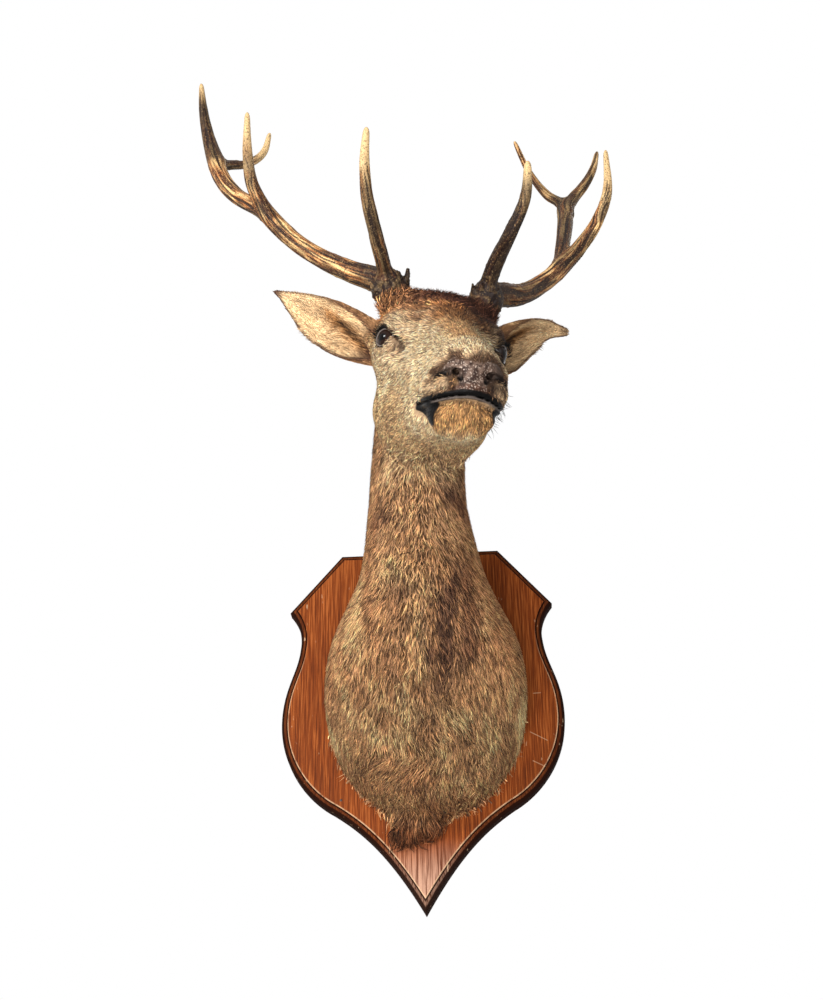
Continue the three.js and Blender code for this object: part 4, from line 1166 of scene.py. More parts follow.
@dataclass(frozen=True)
class EarForm:
    """One ear: a leaf-shaped cup on a curved spine, closed to a tube at its root."""

    side: float
    lift_deg: float
    half_widths: tuple
    spine: tuple
    cup_degrees: tuple = (150, 128, 104, 86, 72, 60, 46, 30)
    facing: tuple = (0.86, 0.28, -0.3)
    thick: float = 5.0
    tip_thick: float = 2.2
    length: float = 205.0

    def place(self, run: Array, across: Array, inner: Array, height: Array) -> Array:
        """Points over the ear's wall, in the head's axes.

        Args:
            run: Shares along the ear from the root to the tip.
            across: From -1 at one edge, over the middle, to 1 at the other.
            inner: 1 on the hollow's side and 0 on the back.
            height: Distance out of that wall.

        Returns:
            The points.
        """
        along, facing = headings(self.spine, run), np.array(self.facing)
        open_way = unit(facing - along * (along @ facing)[:, None])
        up = unit(np.cross(open_way, along))
        spots, knots = run * (len(self.half_widths) - 1), np.arange(len(self.half_widths))
        bend = np.radians(np.interp(spots, knots, self.cup_degrees))
        radius = np.interp(spots, knots, self.half_widths) / np.sin(np.minimum(bend, np.pi / 2))
        thick = (self.thick + (self.tip_thick - self.thick) * run) * np.sqrt(np.clip(1 - across**6, 0, 1))
        reach = radius + np.where(inner > 0.5, -1, 1) * (thick / 2 + height)
        ripple = 1.5 * np.sin(across * 7 + run * 5) * smooth(0.15, 0.5, run) * (1 - 0.5 * run)
        curl = 9.0 * smooth(0.82, 1.0, run) ** 2 * (1 if self.side > 0 else -0.35)
        level = 0.5 * radius * (1 - np.cos(bend)) + ripple * 0.5 + curl
        points = curve(self.spine, run) + up * (reach * np.sin(across * bend))[:, None]
        points = points + open_way * (level - reach * np.cos(across * bend))[:, None]
        root = np.array(self.spine[0], float)
        lift = math.radians(self.lift_deg)
        sine, cosine = math.sin(lift), math.cos(lift)
        spin = np.array([[1, 0, 0], [0, cosine, sine], [0, -sine, cosine]])
        return ((points - root) @ spin + root) * np.array([1, self.side, 1])

    def wall(self, stations: int = 64, around: int = 72) -> MeshData:
        """The ear's own skin as a closed body with rounded edges."""
        turn = np.linspace(0, 2 * np.pi, around, endpoint=False)
        run, turn = (grid.ravel() for grid in np.meshgrid(np.linspace(0, 1, stations), turn, indexing="ij"))
        across = np.clip(np.cos(turn) * 1.02, -1, 1)
        inner = (np.sin(turn) > 0).astype(float)
        points = self.place(run, across, inner, np.zeros(across.size))
        data = closed_loft(points.reshape(stations, around, 3)).facing_out()
        ends = np.array([0.0, 1.0])
        across, inner = np.append(across, across[[0, 0]]), np.append(inner, 0 * ends)
        data.coat = self.colour(np.append(run, ends), across, inner, data.points) * 0.85
        return data

    def colour(self, run: Array, across: Array, inner: Array, p: Array) -> Array:
        """Colour of the ear's coat."""
        left = self.side > 0
        mottle, streak = noise(p, 16, 71), noise(p, 6, 72)
        high = across * self.upper_sign()
        crease = high + 0.35 - 1.1 * (run - 0.1)
        lock = noise(np.column_stack([across * 5 + 2 * run, run * 3]), 1.0, 77)
        # Orange-brown along the crease of the hollow, with a near-black line in its fold, on the lower part of
        # the ear: painted shade in the ear's fold.
        fold = bell(crease, 0.03, 0.1) * smooth(0.66 if left else 0.52, 0.4, run)
        hollow = Hue.EAR.to(Hue.EAR_HOLLOW_SHADE, bell(crease, 0, 0.2) * smooth(0.68, 0.5, run + 0.05 * streak))
        hollow = painted(hollow, (Hue.CHEEK, 0.5 * smooth(0.2, 0.8, streak)))
        hollow = painted(
            hollow * (0.94 if left else 1.0) * np.exp(0.34 * lock)[:, None],
            (Hue.LID, 0.9 * fold),
            (Hue.EAR_BACK, 0.9 * smooth(0.55, 0.75, high + 0.1 * streak) * smooth(0.62, 0.35, run)),
            # Darker towards the root of the hollow: dark hair there, and painted shade where the ear meets the
            # head.
            (Hue.CROWN, 0.9 * smooth(0.26, 0.08, run + 0.04 * mottle)),
        )
        edge = smooth(0.88, 0.99, np.abs(across) + 0.03 * streak) * np.where(high > 0, 0.7, 0.85)
        tip = smooth(0.9, 0.97, run + 0.03 * mottle) * (0.5 if left else 0.95)
        back = Hue.EAR_BACK.to(Hue.CHEEK, smooth(-0.2, 0.7, mottle))
        return painted(np.where(inner[:, None] > 0.5, hollow, back), (Hue.CROWN, edge), (Hue.CROWN, tip))

    def upper_sign(self) -> float:
        """Which way across the ear its upper edge lies."""
        low, high = self.place(np.full(2, 0.5), np.array([-1.0, 1.0]), np.zeros(2), np.zeros(2))[:, 2]
        return 1.0 if high > low else -1.0

    def tufts(self, count: int, dice: np.random.Generator) -> Tufts:
        """Short hair over both sides of the ear, and longer hair along its edges and in its hollow.

        Args:
            count: How many tufts.
            dice: Source of random numbers.

        Returns:
            The tufts, in the head's axes.
        """
        run = dice.uniform(0.0, 1.0, count)
        rim = dice.uniform(0, 1, count) < 0.16
        at_rim = np.sign(dice.uniform(-1, 1, count)) * dice.uniform(0.94, 1.0, count)
        across = np.where(rim, at_rim, dice.uniform(-1, 1, count))
        inner = (dice.uniform(0, 1, count) < 0.55).astype(float)
        long = (inner > 0.5) & (dice.uniform(0, 1, count) < 0.3 * smooth(0.9, 0.4, run))
        length = np.where(long, dice.uniform(12, 20, count), dice.uniform(5, 9.5, count))
        length = length * np.where(rim, 0.7, 1.0) * (1 - 0.35 * smooth(0.8, 1.0, run))
        spread = 0.10 + 0.35 * noise(np.column_stack([across * 4, run * 9]), 1.0, 75)
        edgeward = np.sign(across) * (0.35 * np.abs(across) + np.where(rim, 0.6, 0.1)) + spread
        path = []
        for share in np.arange(4) / 3:
            r = run + share * length / self.length * (1 - 0.3 * np.abs(edgeward))
            a = across + share * length / 42 * edgeward
            lift = np.where(long, 3.2, 1.1) * dice.uniform(0.85, 1.15, count) * share**0.8 - 0.4 * (1 - share)
            held, kept = np.clip(a, -1, 1), np.clip(r, 0, 1)
            spot = self.place(kept, held, inner, lift)
            inside = self.place(kept, held * 0.9, inner, lift)
            spot = spot + unit(spot - inside) * (np.maximum(np.abs(a) - 1, 0) * 26)[:, None]
            back = self.place(kept - 0.02, held, inner, lift)
            path.append(spot + unit(spot - back) * (np.maximum(r - 1, 0) * self.length)[:, None])
        zero = np.zeros(count)
        out = unit(self.place(run, across, inner, zero + 1.0) - self.place(run, across, inner, zero))
        shade = np.exp(0.34 * dice.normal(0, 1, (count, 1)))
        colours = self.colour(run, across, inner, path[0]) * shade
        width = np.where(long, 0.9, 1.15) * dice.uniform(0.7, 1.3, count)
        places = np.column_stack([0.25 + 0.22 * across + 0.5 * inner, 0.03 + 0.94 * run])
        return Tufts(np.stack(path, axis=1), out, width, colours, places)


# ---------------------------------------------------------------- eyes
@dataclass
class Eyes:
    """Glass eyes, the wet rims of their lids and their lashes."""

    head: HeadAxes
    ball: float = 18.4
    cornea: float = 1.1
    rim: float = 1.15
    lashes: int = 70

    def frame_axes(self, side: float) -> tuple:
        """Middle of the eye and its rows of directions, on the stag's left (1) or right (-1)."""
        flip = np.array([1, side, 1])
        return np.array(EYE.middle) * flip, EYE.axes() * flip

    def globe(self, side: float) -> MeshData:
        """The glass eye, a little fuller over its pupil."""
        middle, ways = self.frame_axes(side)
        rings = np.radians(np.concatenate([np.linspace(0.8, 62, 40), np.linspace(68, 178, 12)]))
        turn = np.linspace(0, 2 * np.pi, 64, endpoint=False)
        polar, angle = np.meshgrid(rings, turn, indexing="ij")
        reach = self.ball + self.cornea * np.exp(-((polar / 0.55) ** 2))
        aside = reach * np.sin(polar)
        spot = np.stack([aside * np.cos(angle), aside * np.sin(angle), reach * np.cos(polar)], axis=-1) @ ways
        data = closed_loft(spot + middle).facing_out()
        across, high, out = ((data.points - middle) @ ways.T).T
        data.values = {
            "pupil": smooth(1.15, 0.9, np.hypot(across / 6.6, high / 4.3)) * (out > 0),
            "iris": smooth(13.2, 11.8, np.hypot(across, high)) * (out > 0),
        }
        data.points = self.head.to_mount(data.points)
        return data

    def edge(self, side: float, shares: Array, upper: bool, lift: float) -> Array:
        """Points along a lid's edge, a distance over the ball."""
        middle, ways = self.frame_axes(side)
        a = shares * EYE.half_length * 0.985
        b = EYE.opening(shares, upper)
        return middle + np.column_stack([a, b, np.sqrt((EYE.radius + lift) ** 2 - a**2 - b**2)]) @ ways

    def rims(self, side: float) -> MeshData:
        """The wet rim that runs round the opening, and the small caruncle at its inner corner."""
        shares = np.sin(np.linspace(-np.pi / 2, np.pi / 2, 36))
        under = self.edge(side, shares[::-1][1:], False, 0.5)
        loop = np.concatenate([self.edge(side, shares, True, 0.5), under])
        _, (along, _, out) = self.frame_axes(side)
        corner = self.edge(side, np.array([0.93]), True, 0.0)[0]
        spots = corner + np.outer(np.linspace(-2.6, 2.4, 9), along * 0.8 - out * 0.35)
        radii = 2.0 * np.sqrt(np.clip(1 - np.linspace(-0.98, 0.98, 9) ** 2, 0.02, 1))
        body = tube(loop, np.full(len(loop), self.rim), 8).joined(tube(spots, radii, 10))
        body.points = self.head.to_mount(body.points)
        return body

    def lash_tufts(self, side: float, dice: np.random.Generator) -> Tufts:
        """Dark lashes along the upper lid and a few along the lower one."""
        shares = dice.uniform(-0.9, 0.7, self.lashes)
        shares = np.append(shares, dice.uniform(-0.8, 0.6, self.lashes // 4))
        count = len(shares)
        upper = np.arange(count) < self.lashes
        high, low = (self.edge(side, shares, over, 1.0) for over in (True, False))
        root = np.where(upper[:, None], high, low)
        _, (along, top, out) = self.frame_axes(side)
        length = np.where(upper, dice.uniform(7, 11, count), dice.uniform(3, 6, count))[:, None]
        away = np.where(upper, 1.0, -1.0)[:, None]
        lean = along * dice.normal(-0.25, 0.2, (count, 1))
        path = [root]
        for share in (0.35, 0.7, 1.0):
            lift = top * away * (0.25 + 0.55 * share) - np.array([0, 0, 0.15])
            path.append(root + length * share * unit(out * (1.1 - 0.5 * share) + lift + lean))
        path = self.head.to_mount(np.stack(path, axis=1))
        outs, colours = np.tile(out @ self.head.turn, (count, 1)), np.tile(Hue.LIP.light(), (count, 1))
        places = np.column_stack([0.5 + 0.45 * shares, 0.5 + 0.3 * away[:, 0]])
        return Tufts(path, outs, np.full(count, 0.75), colours, places, thickness=0.5)


# ---------------------------------------------------------------- antlers
@dataclass(frozen=True)
class Limb:
    """A beam or tine: its line in the head's axes, its radius at each knot, and where its pale end begins."""

    line: tuple
    radii: tuple
    pale_from: float

    def sampled(self, gap: float = 2.2) -> tuple:
        """Points, radii and the run along the limb at about the given gap."""
        rough = curve(self.line, np.linspace(0, 1, 200))
        run = np.concatenate([[0], np.cumsum(np.linalg.norm(np.diff(rough, axis=0), axis=1))])
        wanted = np.linspace(0, run[-1], max(8, int(run[-1] / gap)))
        share = np.interp(wanted, run, np.linspace(0, 1, 200))
        radii = np.interp(share, np.linspace(0, 1, len(self.radii)), self.radii)
        past = np.clip((wanted - wanted[-1] + 8) / 8, 0, 1)
        return curve(self.line, share), radii * np.sqrt(np.maximum(1 - past**2, 0.03)), wanted


ANTLER_PARTS = ("beam_lower", "beam_upper", "brow_tine", "trez_tine", "outer_tine", "inner_tine")
RIGHT_LIMBS = {
    "main": Limb(
        ((-66, -52, 52), (-76, -68, 78), (-118, -114, 97), (-150, -149, 113), (-183, -190, 139),
         (-206, -224, 172), (-206, -250, 208), (-197, -262, 247), (-205, -269, 304)),
        (19, 18, 14.5, 13, 12, 10.5, 8.6, 7, 3.4), 0.84),
    "upper": Limb(
        ((-188, -198, 146), (-222, -236, 179), (-265, -268, 202), (-305, -289, 231), (-337, -302, 265),
         (-363, -314, 301), (-378, -325, 339), (-385, -333, 379)),
        (7, 10.5, 11.5, 12, 12, 9.4, 6.8, 3), 0.93),
    "brow": Limb(
        ((-72, -68, 83), (-30, -94, 127), (6, -118, 174), (20, -128, 214), (25, -131, 253)),
        (10, 9.2, 8, 6.4, 4), 0.72),
    "inner": Limb(
        ((-325, -297, 252), (-348, -277, 260), (-378, -249, 274), (-396, -230, 297), (-395, -225, 326)),
        (7, 7, 6.4, 5.4, 3.2), 0.6),
}
LEFT_LIMBS = {
    "main": Limb(
        ((-66, 50, 54), (-76, 66, 82), (-118, 117, 99), (-155, 152, 123), (-190, 186, 156),
         (-206, 212, 190), (-205, 231, 226), (-196, 240, 270), (-205, 233, 332)),
        (19, 18, 14.5, 13, 12, 10.5, 8.8, 7, 3.2), 0.84),
    "upper": Limb(
        ((-182, 178, 148), (-218, 191, 182), (-255, 200, 213), (-290, 208, 241), (-318, 213, 263),
         (-342, 228, 288), (-361, 248, 316), (-377, 262, 346), (-385, 267, 374)),
        (7, 10.5, 10.5, 11.5, 11.5, 8.8, 7.2, 5.6, 3), 0.95),
    "brow": Limb(
        ((-72, 60, 86), (-38, 64, 126), (0, 70, 158), (25, 78, 201), (42, 72, 239)),
        (11, 10.4, 9.4, 7.4, 4.4), 0.76),
    "inner": Limb(
        ((-310, 214, 256), (-338, 209, 277), (-364, 193, 292), (-388, 167, 327), (-400, 141, 373)),
        (8, 8, 6.8, 5.2, 2.8), 0.95),
}
RIGHT_STAINS = (
    ((-76, -68, 80), 58, 0.8), ((-212, -229, 172), 40, 0.5), ((-50, -82, 106), 50, 0.9),
    ((-18, -102, 142), 56, 0.9), ((2, -115, 168), 44, 0.8), ((-202, -256, 222), 40, 0.6),
    ((-345, -303, 280), 56, 0.9), ((-372, -320, 322), 56, 0.95), ((-350, -276, 260), 34, 0.8),
    ((-66, -45, 94), 26, 1.0),
)
LEFT_STAINS = (
    ((-76, 66, 84), 62, 0.9), ((-50, 64, 112), 56, 1.0), ((-20, 67, 138), 56, 1.0),
    ((2, 71, 162), 56, 1.0), ((20, 77, 188), 50, 0.9), ((-110, 110, 98), 66, 0.7),
    ((-250, 200, 210), 62, 0.8), ((-300, 210, 248), 60, 0.7), ((-330, 216, 272), 50, 0.85),
    ((-198, 190, 170), 44, 0.6), ((-276, 205, 230), 44, 0.8), ((-58, 46, 94), 28, 1.0),
    ((-366, 250, 318), 46, 0.6), ((-372, 186, 305), 50, 0.5),
)
RIGHT_SNAGS = (((-70, -44, 80), (-61, -46, 101), 4.4), ((-78, -50, 84), (-74, -46, 92), 3.4))
LEFT_SNAGS = (
    ((-66, 44, 84), (-58, 40, 94), 4.2), ((-58, 52, 88), (-50, 50, 96), 3.6),
    ((-200, 182, 160), (-206, 173, 149), 6.5),
)


@dataclass
class Antler:
    """One antler: limbs run together, then grooved, pearled and ringed by its coronet."""

    LIMB_STEP = 1000.0
    CHUNK = 8000

    limbs: dict
    head: HeadAxes
    seed: int
    stains: tuple = ()
    snags: tuple = ()
    cell: float = 1.3
    room: float = 34.0
    margin: float = 14.0
    fork_blend: float = 10.0
    snag_blend: float = 5.0
    burr_run: float = 29.5
    burr_spread: float = 6.2
    burr_flare: float = 4.6
    groove_depth: float = 1.3
    pearl_height: float = 1.1
    lie_scale: float = 0.11

    def build(self) -> MeshData:
        """Make the antler's body with the values that its finish reads."""
        data = self.body()
        self.carve_surface(data)
        data.points = self.head.to_mount(data.points)
        return data

    def body(self) -> MeshData:
        """Run the limbs together and mesh them."""
        sampled = {key: limb.sampled() for key, limb in self.limbs.items()}
        every = np.concatenate([points for points, _, _ in sampled.values()])
        corners = every.min(axis=0) - self.room, every.max(axis=0) + self.room
        axes = [np.arange(a, b, self.cell) for a, b in zip(*corners)]
        values = np.full([len(a) for a in axes], FAR, np.float32)
        for key, (points, radii, run) in sampled.items():
            if key == "main":
                radii = radii + self.burr_flare * bell(run, self.burr_run, self.burr_spread)
            reach = radii.max() + self.margin
            spans = window(axes, points.min(axis=0) - reach, points.max(axis=0) + reach)
            local = [axis[span] for axis, span in zip(axes, spans)]
            part = np.full([len(a) for a in local], FAR, np.float32)
            for start, end, r0, r1 in zip(points, points[1:], radii, radii[1:]):
                reach = max(r0, r1) + self.margin
                near = window(local, np.minimum(start, end) - reach, np.maximum(start, end) + reach)
                made = Taper(tuple(start), tuple(end), r0, r1, 1).field(*lines(local, near))
                np.minimum(part[near], made, out=part[near])
            values[spans] = blend(values[spans], part, self.fork_blend)
        for at, end, radius in self.snags:
            reach = radius + 8
            spans = window(axes, np.minimum(at, end) - reach, np.maximum(at, end) + reach)
            made = Taper(at, end, radius, radius * 0.35, 1).field(*lines(axes, spans))
            values[spans] = blend(values[spans], made, self.snag_blend)
        return Lattice(axes, values).surface()

    def located(self, points: Array) -> tuple:
        """Where points lie on the nearest limb.

        Args:
            points: Points of the surface.

        Returns:
            Rows of the run along the limb in millimetres, with a step added for each later limb, the run as
            a share, the angle round it, its radius there, where it turns pale and how many grooves it has.
        """
        best = np.full(len(points), np.inf)
        found = np.zeros((6, len(points)))
        for index, limb in enumerate(self.limbs.values()):
            centres, radii, runs = limb.sampled()
            along = unit(np.gradient(centres, axis=0))
            guide = unit(np.cross(along, np.array([0.2, 0.1, 1.0])))
            other = np.cross(along, guide)
            low, high = centres.min(axis=0) - self.room, centres.max(axis=0) + self.room
            near = np.flatnonzero(np.all((points > low) & (points < high), axis=1))
            grooves = 2 * round(0.33 * np.mean(limb.radii) + 0.5)
            for chunk in np.array_split(near, max(1, len(near) // self.CHUNK)):
                away = np.linalg.norm(points[chunk][:, None] - centres[None], axis=2) - radii[None]
                spot = np.argmin(away, axis=1)
                gap = away[np.arange(len(chunk)), spot]
                better = gap < best[chunk]
                rows, spot = chunk[better], spot[better]
                best[rows] = gap[better]
                offset = points[rows] - centres[spot]
                run = runs[spot] + dot(offset, along[spot])
                around = np.arctan2(dot(offset, other[spot]), dot(offset, guide[spot]))
                share = np.clip(run / runs[-1], 0, 1)
                found[:4, rows] = run + self.LIMB_STEP * index, share, around, radii[spot]
                found[4:, rows] = [[limb.pale_from], [grooves]]
        return tuple(found)

    def carve_surface(self, data: MeshData) -> None:
        """Press grooves, pearls and the coronet's knobs into the surface and note where they are."""
        points = data.points
        run, share, around, size, pale, lanes = self.located(points)
        local, main = run % self.LIMB_STEP, run < self.LIMB_STEP
        wrap = np.column_stack([np.cos(around), np.sin(around)])

        def lengthwise(wide: float, long: float, seed: int) -> Array:
            """Noise that is drawn out along the limbs."""
            return noise(np.column_stack([wrap * wide, run / long]), 1.0, self.seed + seed)

        drift, swing = lengthwise(1.2, 75, 20), lengthwise(1.6, 34, 21)
        lanes_up = np.sin(lanes * around + 4.2 * drift + 1.5 * swing)
        fine = np.sin(1.5 * lanes * around - 5.0 * drift + 3.0 * swing)
        groove = smooth(0.1, 0.85, lanes_up) * smooth(-0.45, 0.2, lengthwise(2.6, 48, 22))
        groove = groove + 0.75 * smooth(0.35, 0.95, fine) * smooth(-0.25, 0.4, lengthwise(3.4, 26, 23))
        groove = np.clip(groove, 0, 1)
        pearls = smooth(0.25, 0.75, noise(points, 5.2, self.seed + 3))
        tined = smooth(-0.1, 0.1, share - pale + 0.08 * noise(points, 12, self.seed + 9))
        rough = smooth(pale + 0.18, pale - 0.1, share)
        low_down = np.where(main, smooth(190, 20, local), 0.6 * smooth(90, 10, local))
        ring = bell(local, self.burr_run, self.burr_spread) * main
        knob = noise(np.column_stack([wrap * 2.4, local / 9]), 1.0, self.seed + 4)
        teeth = noise(np.column_stack([wrap * 4.2, local / 6]), 1.0, self.seed + 5)
        lift = -self.groove_depth * groove * rough * smooth(1.5, 8.0, size)
        lift += self.pearl_height * pearls * np.clip(low_down, 0, 1) * (1 - ring)
        lift += 0.45 * noise(points, 26, self.seed + 6) * rough
        lift += ring * (2.2 * knob + 2.0 * smooth(0.0, 0.7, teeth) + 0.6)
        normals = self.normals(data)
        data.points = points + normals * lift[:, None]
        below = -(normals @ self.head.turn)[:, 2] + 0.45 * noise(points, 14, self.seed + 7)
        # Darker where the surface faces down: painted shade, joined by the listed stains and the dark coronet.
        stain_and_underside_shade = 0.75 * smooth(0.2, 0.8, below) * rough
        for at, reach, depth in self.stains:
            away = np.linalg.norm(points - np.array(at), axis=1)
            stain_and_underside_shade = np.maximum(stain_and_underside_shade, depth * smooth(reach, reach * 0.4, away))
        broad, close, thin = lengthwise(1.5, 95, 30), lengthwise(3.2, 42, 31), lengthwise(5.5, 26, 32)
        tone = smooth(-0.5, 0.36, 0.5 * broad + 0.45 * close + 0.6 * thin - 0.08 * smooth(0.2, -0.5, below))
        stain_and_underside_shade = stain_and_underside_shade * np.clip(1.05 + 0.45 * close + 0.45 * thin, 0, 1)
        data.values = {
            "groove": np.clip(groove * rough + 0.7 * ring * smooth(0.3, -0.3, knob), 0, 1),
            "pearl": np.clip(pearls * low_down + 0.5 * ring * smooth(0.3, 0.8, teeth), 0, 1),
            "ivory": np.clip(tined + 0.15 * noise(points, 9, self.seed + 8) * tined, 0, 1),
            "stain_and_underside_shade": np.clip(stain_and_underside_shade + 0.9 * ring, 0, 1),
            "tone": np.clip(tone, 0, 1),
            "lie_x": wrap[:, 0] * (4 + size),
            "lie_y": wrap[:, 1] * (4 + size),
            "lie_z": run * self.lie_scale,
        }

    @staticmethod
    def normals(data: MeshData) -> Array:
        """Outward directions at the points of a closed mesh."""
        slants = data.slants()
        total = np.zeros_like(data.points)
        for corner in data.triangles.T:
            for k, slant in enumerate(slants.T):
                total[:, k] += np.bincount(corner, slant, len(data.points))
        return unit(total)


# ---------------------------------------------------------------- shader graphs
class Graph:
    """Adds nodes to a tree in short form."""

    def __init__(self, tree: bpy.types.NodeTree) -> None:
        """Work on the given tree."""
        self.tree = tree

    def node(self, kind: str, inputs: dict | None = None, **settings: object) -> bpy.types.Node:
        """Add a node.

        Args:
            kind: The node's type.
            inputs: Values or sockets for its inputs, by name or number.
            **settings: The node's own settings.

        Returns:
            The node.
        """
        node = self.tree.nodes.new(kind)
        for key, value in settings.items():
            setattr(node, key, value)
        for key, value in (inputs or {}).items():
            self.feed(node.inputs[key], value)
        return node

    def feed(self, socket_shadow: Socket, value: object) -> None:
        """Link or set one input."""
        if isinstance(value, Socket):
            self.tree.links.new(value, socket_shadow)
        elif socket_shadow.type == "RGBA":
            socket_shadow.default_value = (*value[:3], 1.0)
        else:
            socket_shadow.default_value = value

    def maths(self, operation: str, *values: object) -> Socket:
        """One sum on numbers."""
        return self.node("ShaderNodeMath", dict(enumerate(values)), operation=operation).outputs[0]

    def times(self, a: object, b: object) -> Socket:
        """The product of two numbers."""
        return self.maths("MULTIPLY", a, b)

    def vector(self, operation: str, *values: object, out: int = 0) -> Socket:
        """One sum on vectors."""
        return self.node("ShaderNodeVectorMath", dict(enumerate(values)), operation=operation).outputs[out]

    def ramp(self, value: object, *stops: tuple) -> Socket:
        """Colours at positions along a value."""
        node = self.node("ShaderNodeValToRGB", {0: value})
        elements = node.color_ramp.elements
        while len(elements) < len(stops):
            elements.new(1.0)
        for element, (at, colour) in zip(elements, stops):
            element.position = at
            element.color = (*colour[:3], 1.0)
        return node.outputs[0]

    def spread(self, value: object, low: float, high: float) -> Socket:
        """Stretch a value smoothly from low and high to 0 and 1."""
        inputs = {"Value": value, "From Min": low, "From Max": high}
        return self.node("ShaderNodeMapRange", inputs, interpolation_type="SMOOTHSTEP").outputs[0]

    def mixed(self, share: object, first: object, second: object, how: str = "MIX") -> Socket:
        """Mix two colours."""
        inputs = {0: share, 6: first, 7: second}
        return self.node("ShaderNodeMix", inputs, data_type="RGBA", blend_type=how).outputs[2]

    def painted(self, colour: object, *layers: tuple) -> Socket:
        """Lay colours over a colour in turn, each given with the mask it covers and the mask's strength."""
        for paint, mask, strength in layers:
            colour = self.mixed(self.times(mask, strength), colour, paint)
        return colour

    def carried(self, name: str) -> Socket:
        """A value that rides on the piece's points."""
        return self.node("ShaderNodeAttribute", attribute_name=name).outputs["Fac"]

    def coat(self, shade: object, low: tuple) -> Socket:
        """The coat's colour on the piece's points, times a dark tone where the shade is 0."""
        coat = self.node("ShaderNodeAttribute", attribute_name="coat_color").outputs["Color"]
        return self.mixed(1.0, coat, self.ramp(shade, (0.0, low), (1.0, (1.0, 1.0, 1.0))), "MULTIPLY")

    def place(self) -> Socket:
        """Where a point is on the object."""
        return self.node("ShaderNodeTexCoord").outputs["Object"]

    def bump(self, height: object, strength: float, distance: float) -> Socket:
        """Normals of a rough surface."""
        inputs = {"Height": height, "Strength": strength, "Distance": distance}
        return self.node("ShaderNodeBump", inputs).outputs[0]


class Effects:
    """Node groups that several finishes share."""

    def __init__(self) -> None:
        """Make each group once."""
        self.mottle_group = self._mottle()
        self.mark_group = self._mark()

    def mottle(
        self, graph: Graph, place: object, broad: float, fine: float, stretch: tuple = (1.0, 1.0, 1.0)
    ) -> tuple:
        """Two layers of noise at a place, each with its own scale: the broad tone and the fine grain."""
        inputs = {"Place": place, "Stretch": stretch, "Broad": broad, "Fine": fine}
        node = graph.node("ShaderNodeGroup", inputs, node_tree=self.mottle_group)
        return node.outputs["Tone"], node.outputs["Grain"]

    def mark(
        self, graph: Graph, place: object, start: tuple, way: tuple, width: float
    ) -> Socket:
        """The mask of a straight mark from a start on."""
        inputs = {"Place": place, "Start": start, "Way": way, "Width": width}
        return graph.node("ShaderNodeGroup", inputs, node_tree=self.mark_group).outputs["Mask"]

    @staticmethod
    def _group(name: str, inputs: dict, outputs: tuple) -> tuple:
        """A new group's graph, inputs and outputs, from its inputs' first values and its outputs' names."""
        tree = bpy.data.node_groups.new(name, "ShaderNodeTree")
        for key, value in inputs.items():
            kind = "NodeSocketVector" if isinstance(value, tuple) else "NodeSocketFloat"
            tree.interface.new_socket(key, in_out="INPUT", socket_type=kind).default_value = value
        for key in outputs:
            tree.interface.new_socket(key, in_out="OUTPUT", socket_type="NodeSocketFloat")
        graph = Graph(tree)
        return graph, graph.node("NodeGroupInput").outputs, graph.node("NodeGroupOutput").inputs

    def _mottle(self) -> bpy.types.NodeTree:
        """Two layers of noise: a broad one for tone, and a fine one for grain."""
        start = {"Place": (0.0, 0.0, 0.0), "Stretch": (1.0, 1.0, 1.0), "Broad": 12.0, "Fine": 120.0}
        graph, entry, leave = self._group("Mottle", start, ("Tone", "Grain"))
        spot = graph.vector("MULTIPLY", entry["Place"], entry["Stretch"])
        for name, scale, detail in (("Tone", "Broad", 3.0), ("Grain", "Fine", 4.0)):
            made = graph.node("ShaderNodeTexNoise", {"Vector": spot, "Scale": entry[scale], "Detail": detail})
            graph.feed(leave[name], made.outputs["Fac"])
        return graph.tree

    def _mark(self) -> bpy.types.NodeTree:
        """A straight mark between two places, such as a scratch or a crack."""
        start = {"Place": (0.0, 0.0, 0.0), "Start": (0.0, 0.0, 0.0), "Way": (0.0, 0.0, 1.0), "Width": 0.001}
        graph, entry, leave = self._group("Straight mark", start, ("Mask",))
        away, way = graph.vector("SUBTRACT", entry["Place"], entry["Start"]), entry["Way"]
        run, whole = (graph.vector("DOT_PRODUCT", a, way, out=1) for a in (away, way))
        held = graph.node("ShaderNodeClamp", {"Value": graph.maths("DIVIDE", run, whole)}).outputs[0]
        step = graph.node("ShaderNodeVectorMath", {0: way, "Scale": held}, operation="SCALE").outputs[0]
        gap = graph.vector("LENGTH", graph.vector("SUBTRACT", away, step), out=1)
        low = graph.times(entry["Width"], 0.3)
        ends = {"From Min": low, "From Max": entry["Width"], "To Min": 1.0, "To Max": 0.0}
        graph.feed(leave["Mask"], graph.node("ShaderNodeMapRange", {"Value": gap, **ends}).outputs[0])
        return graph.tree


# ---------------------------------------------------------------- finishes
@dataclass(frozen=True)
class Finish:
    """What every finish has: a name and the plain numbers of its shader."""

    name: str
    roughness: float = 0.6
    coat: float = 0.0
    coat_roughness: float = 0.1
    specular: float = 0.5
    metallic: float = 0.0

    def make(self, effects: Effects) -> Material:
        """Build the material."""
        material = bpy.data.materials.new(self.name)
        material.use_nodes = True
        graph = Graph(material.node_tree)
        shader = material.node_tree.nodes["Principled BSDF"]
        numbers = {
            "Roughness": self.roughness,
            "Coat Weight": self.coat,
            "Coat Roughness": self.coat_roughness,
            "Specular IOR Level": self.specular,
            "Metallic": self.metallic,
        }
        for inputs in (numbers, self.surface(graph, effects)):
            for key, value in inputs.items():
                graph.feed(shader.inputs[key], value)
        return material

    def surface(self, graph: Graph, effects: Effects) -> dict:
        """What the shader's inputs are fed with, which each finish makes for itself."""
        raise NotImplementedError


@dataclass(frozen=True)
class HairFinish(Finish):
    """Hair: the tuft's own colour, a little streaked."""

    def surface(self, graph: Graph, effects: Effects) -> dict:
        """The shader's inputs."""
        _, grain = effects.mottle(graph, graph.place(), 60.0, 900.0)
        return {"Base Color": graph.coat(graph.spread(grain, 0.25, 0.7), (0.78, 0.76, 0.74))}


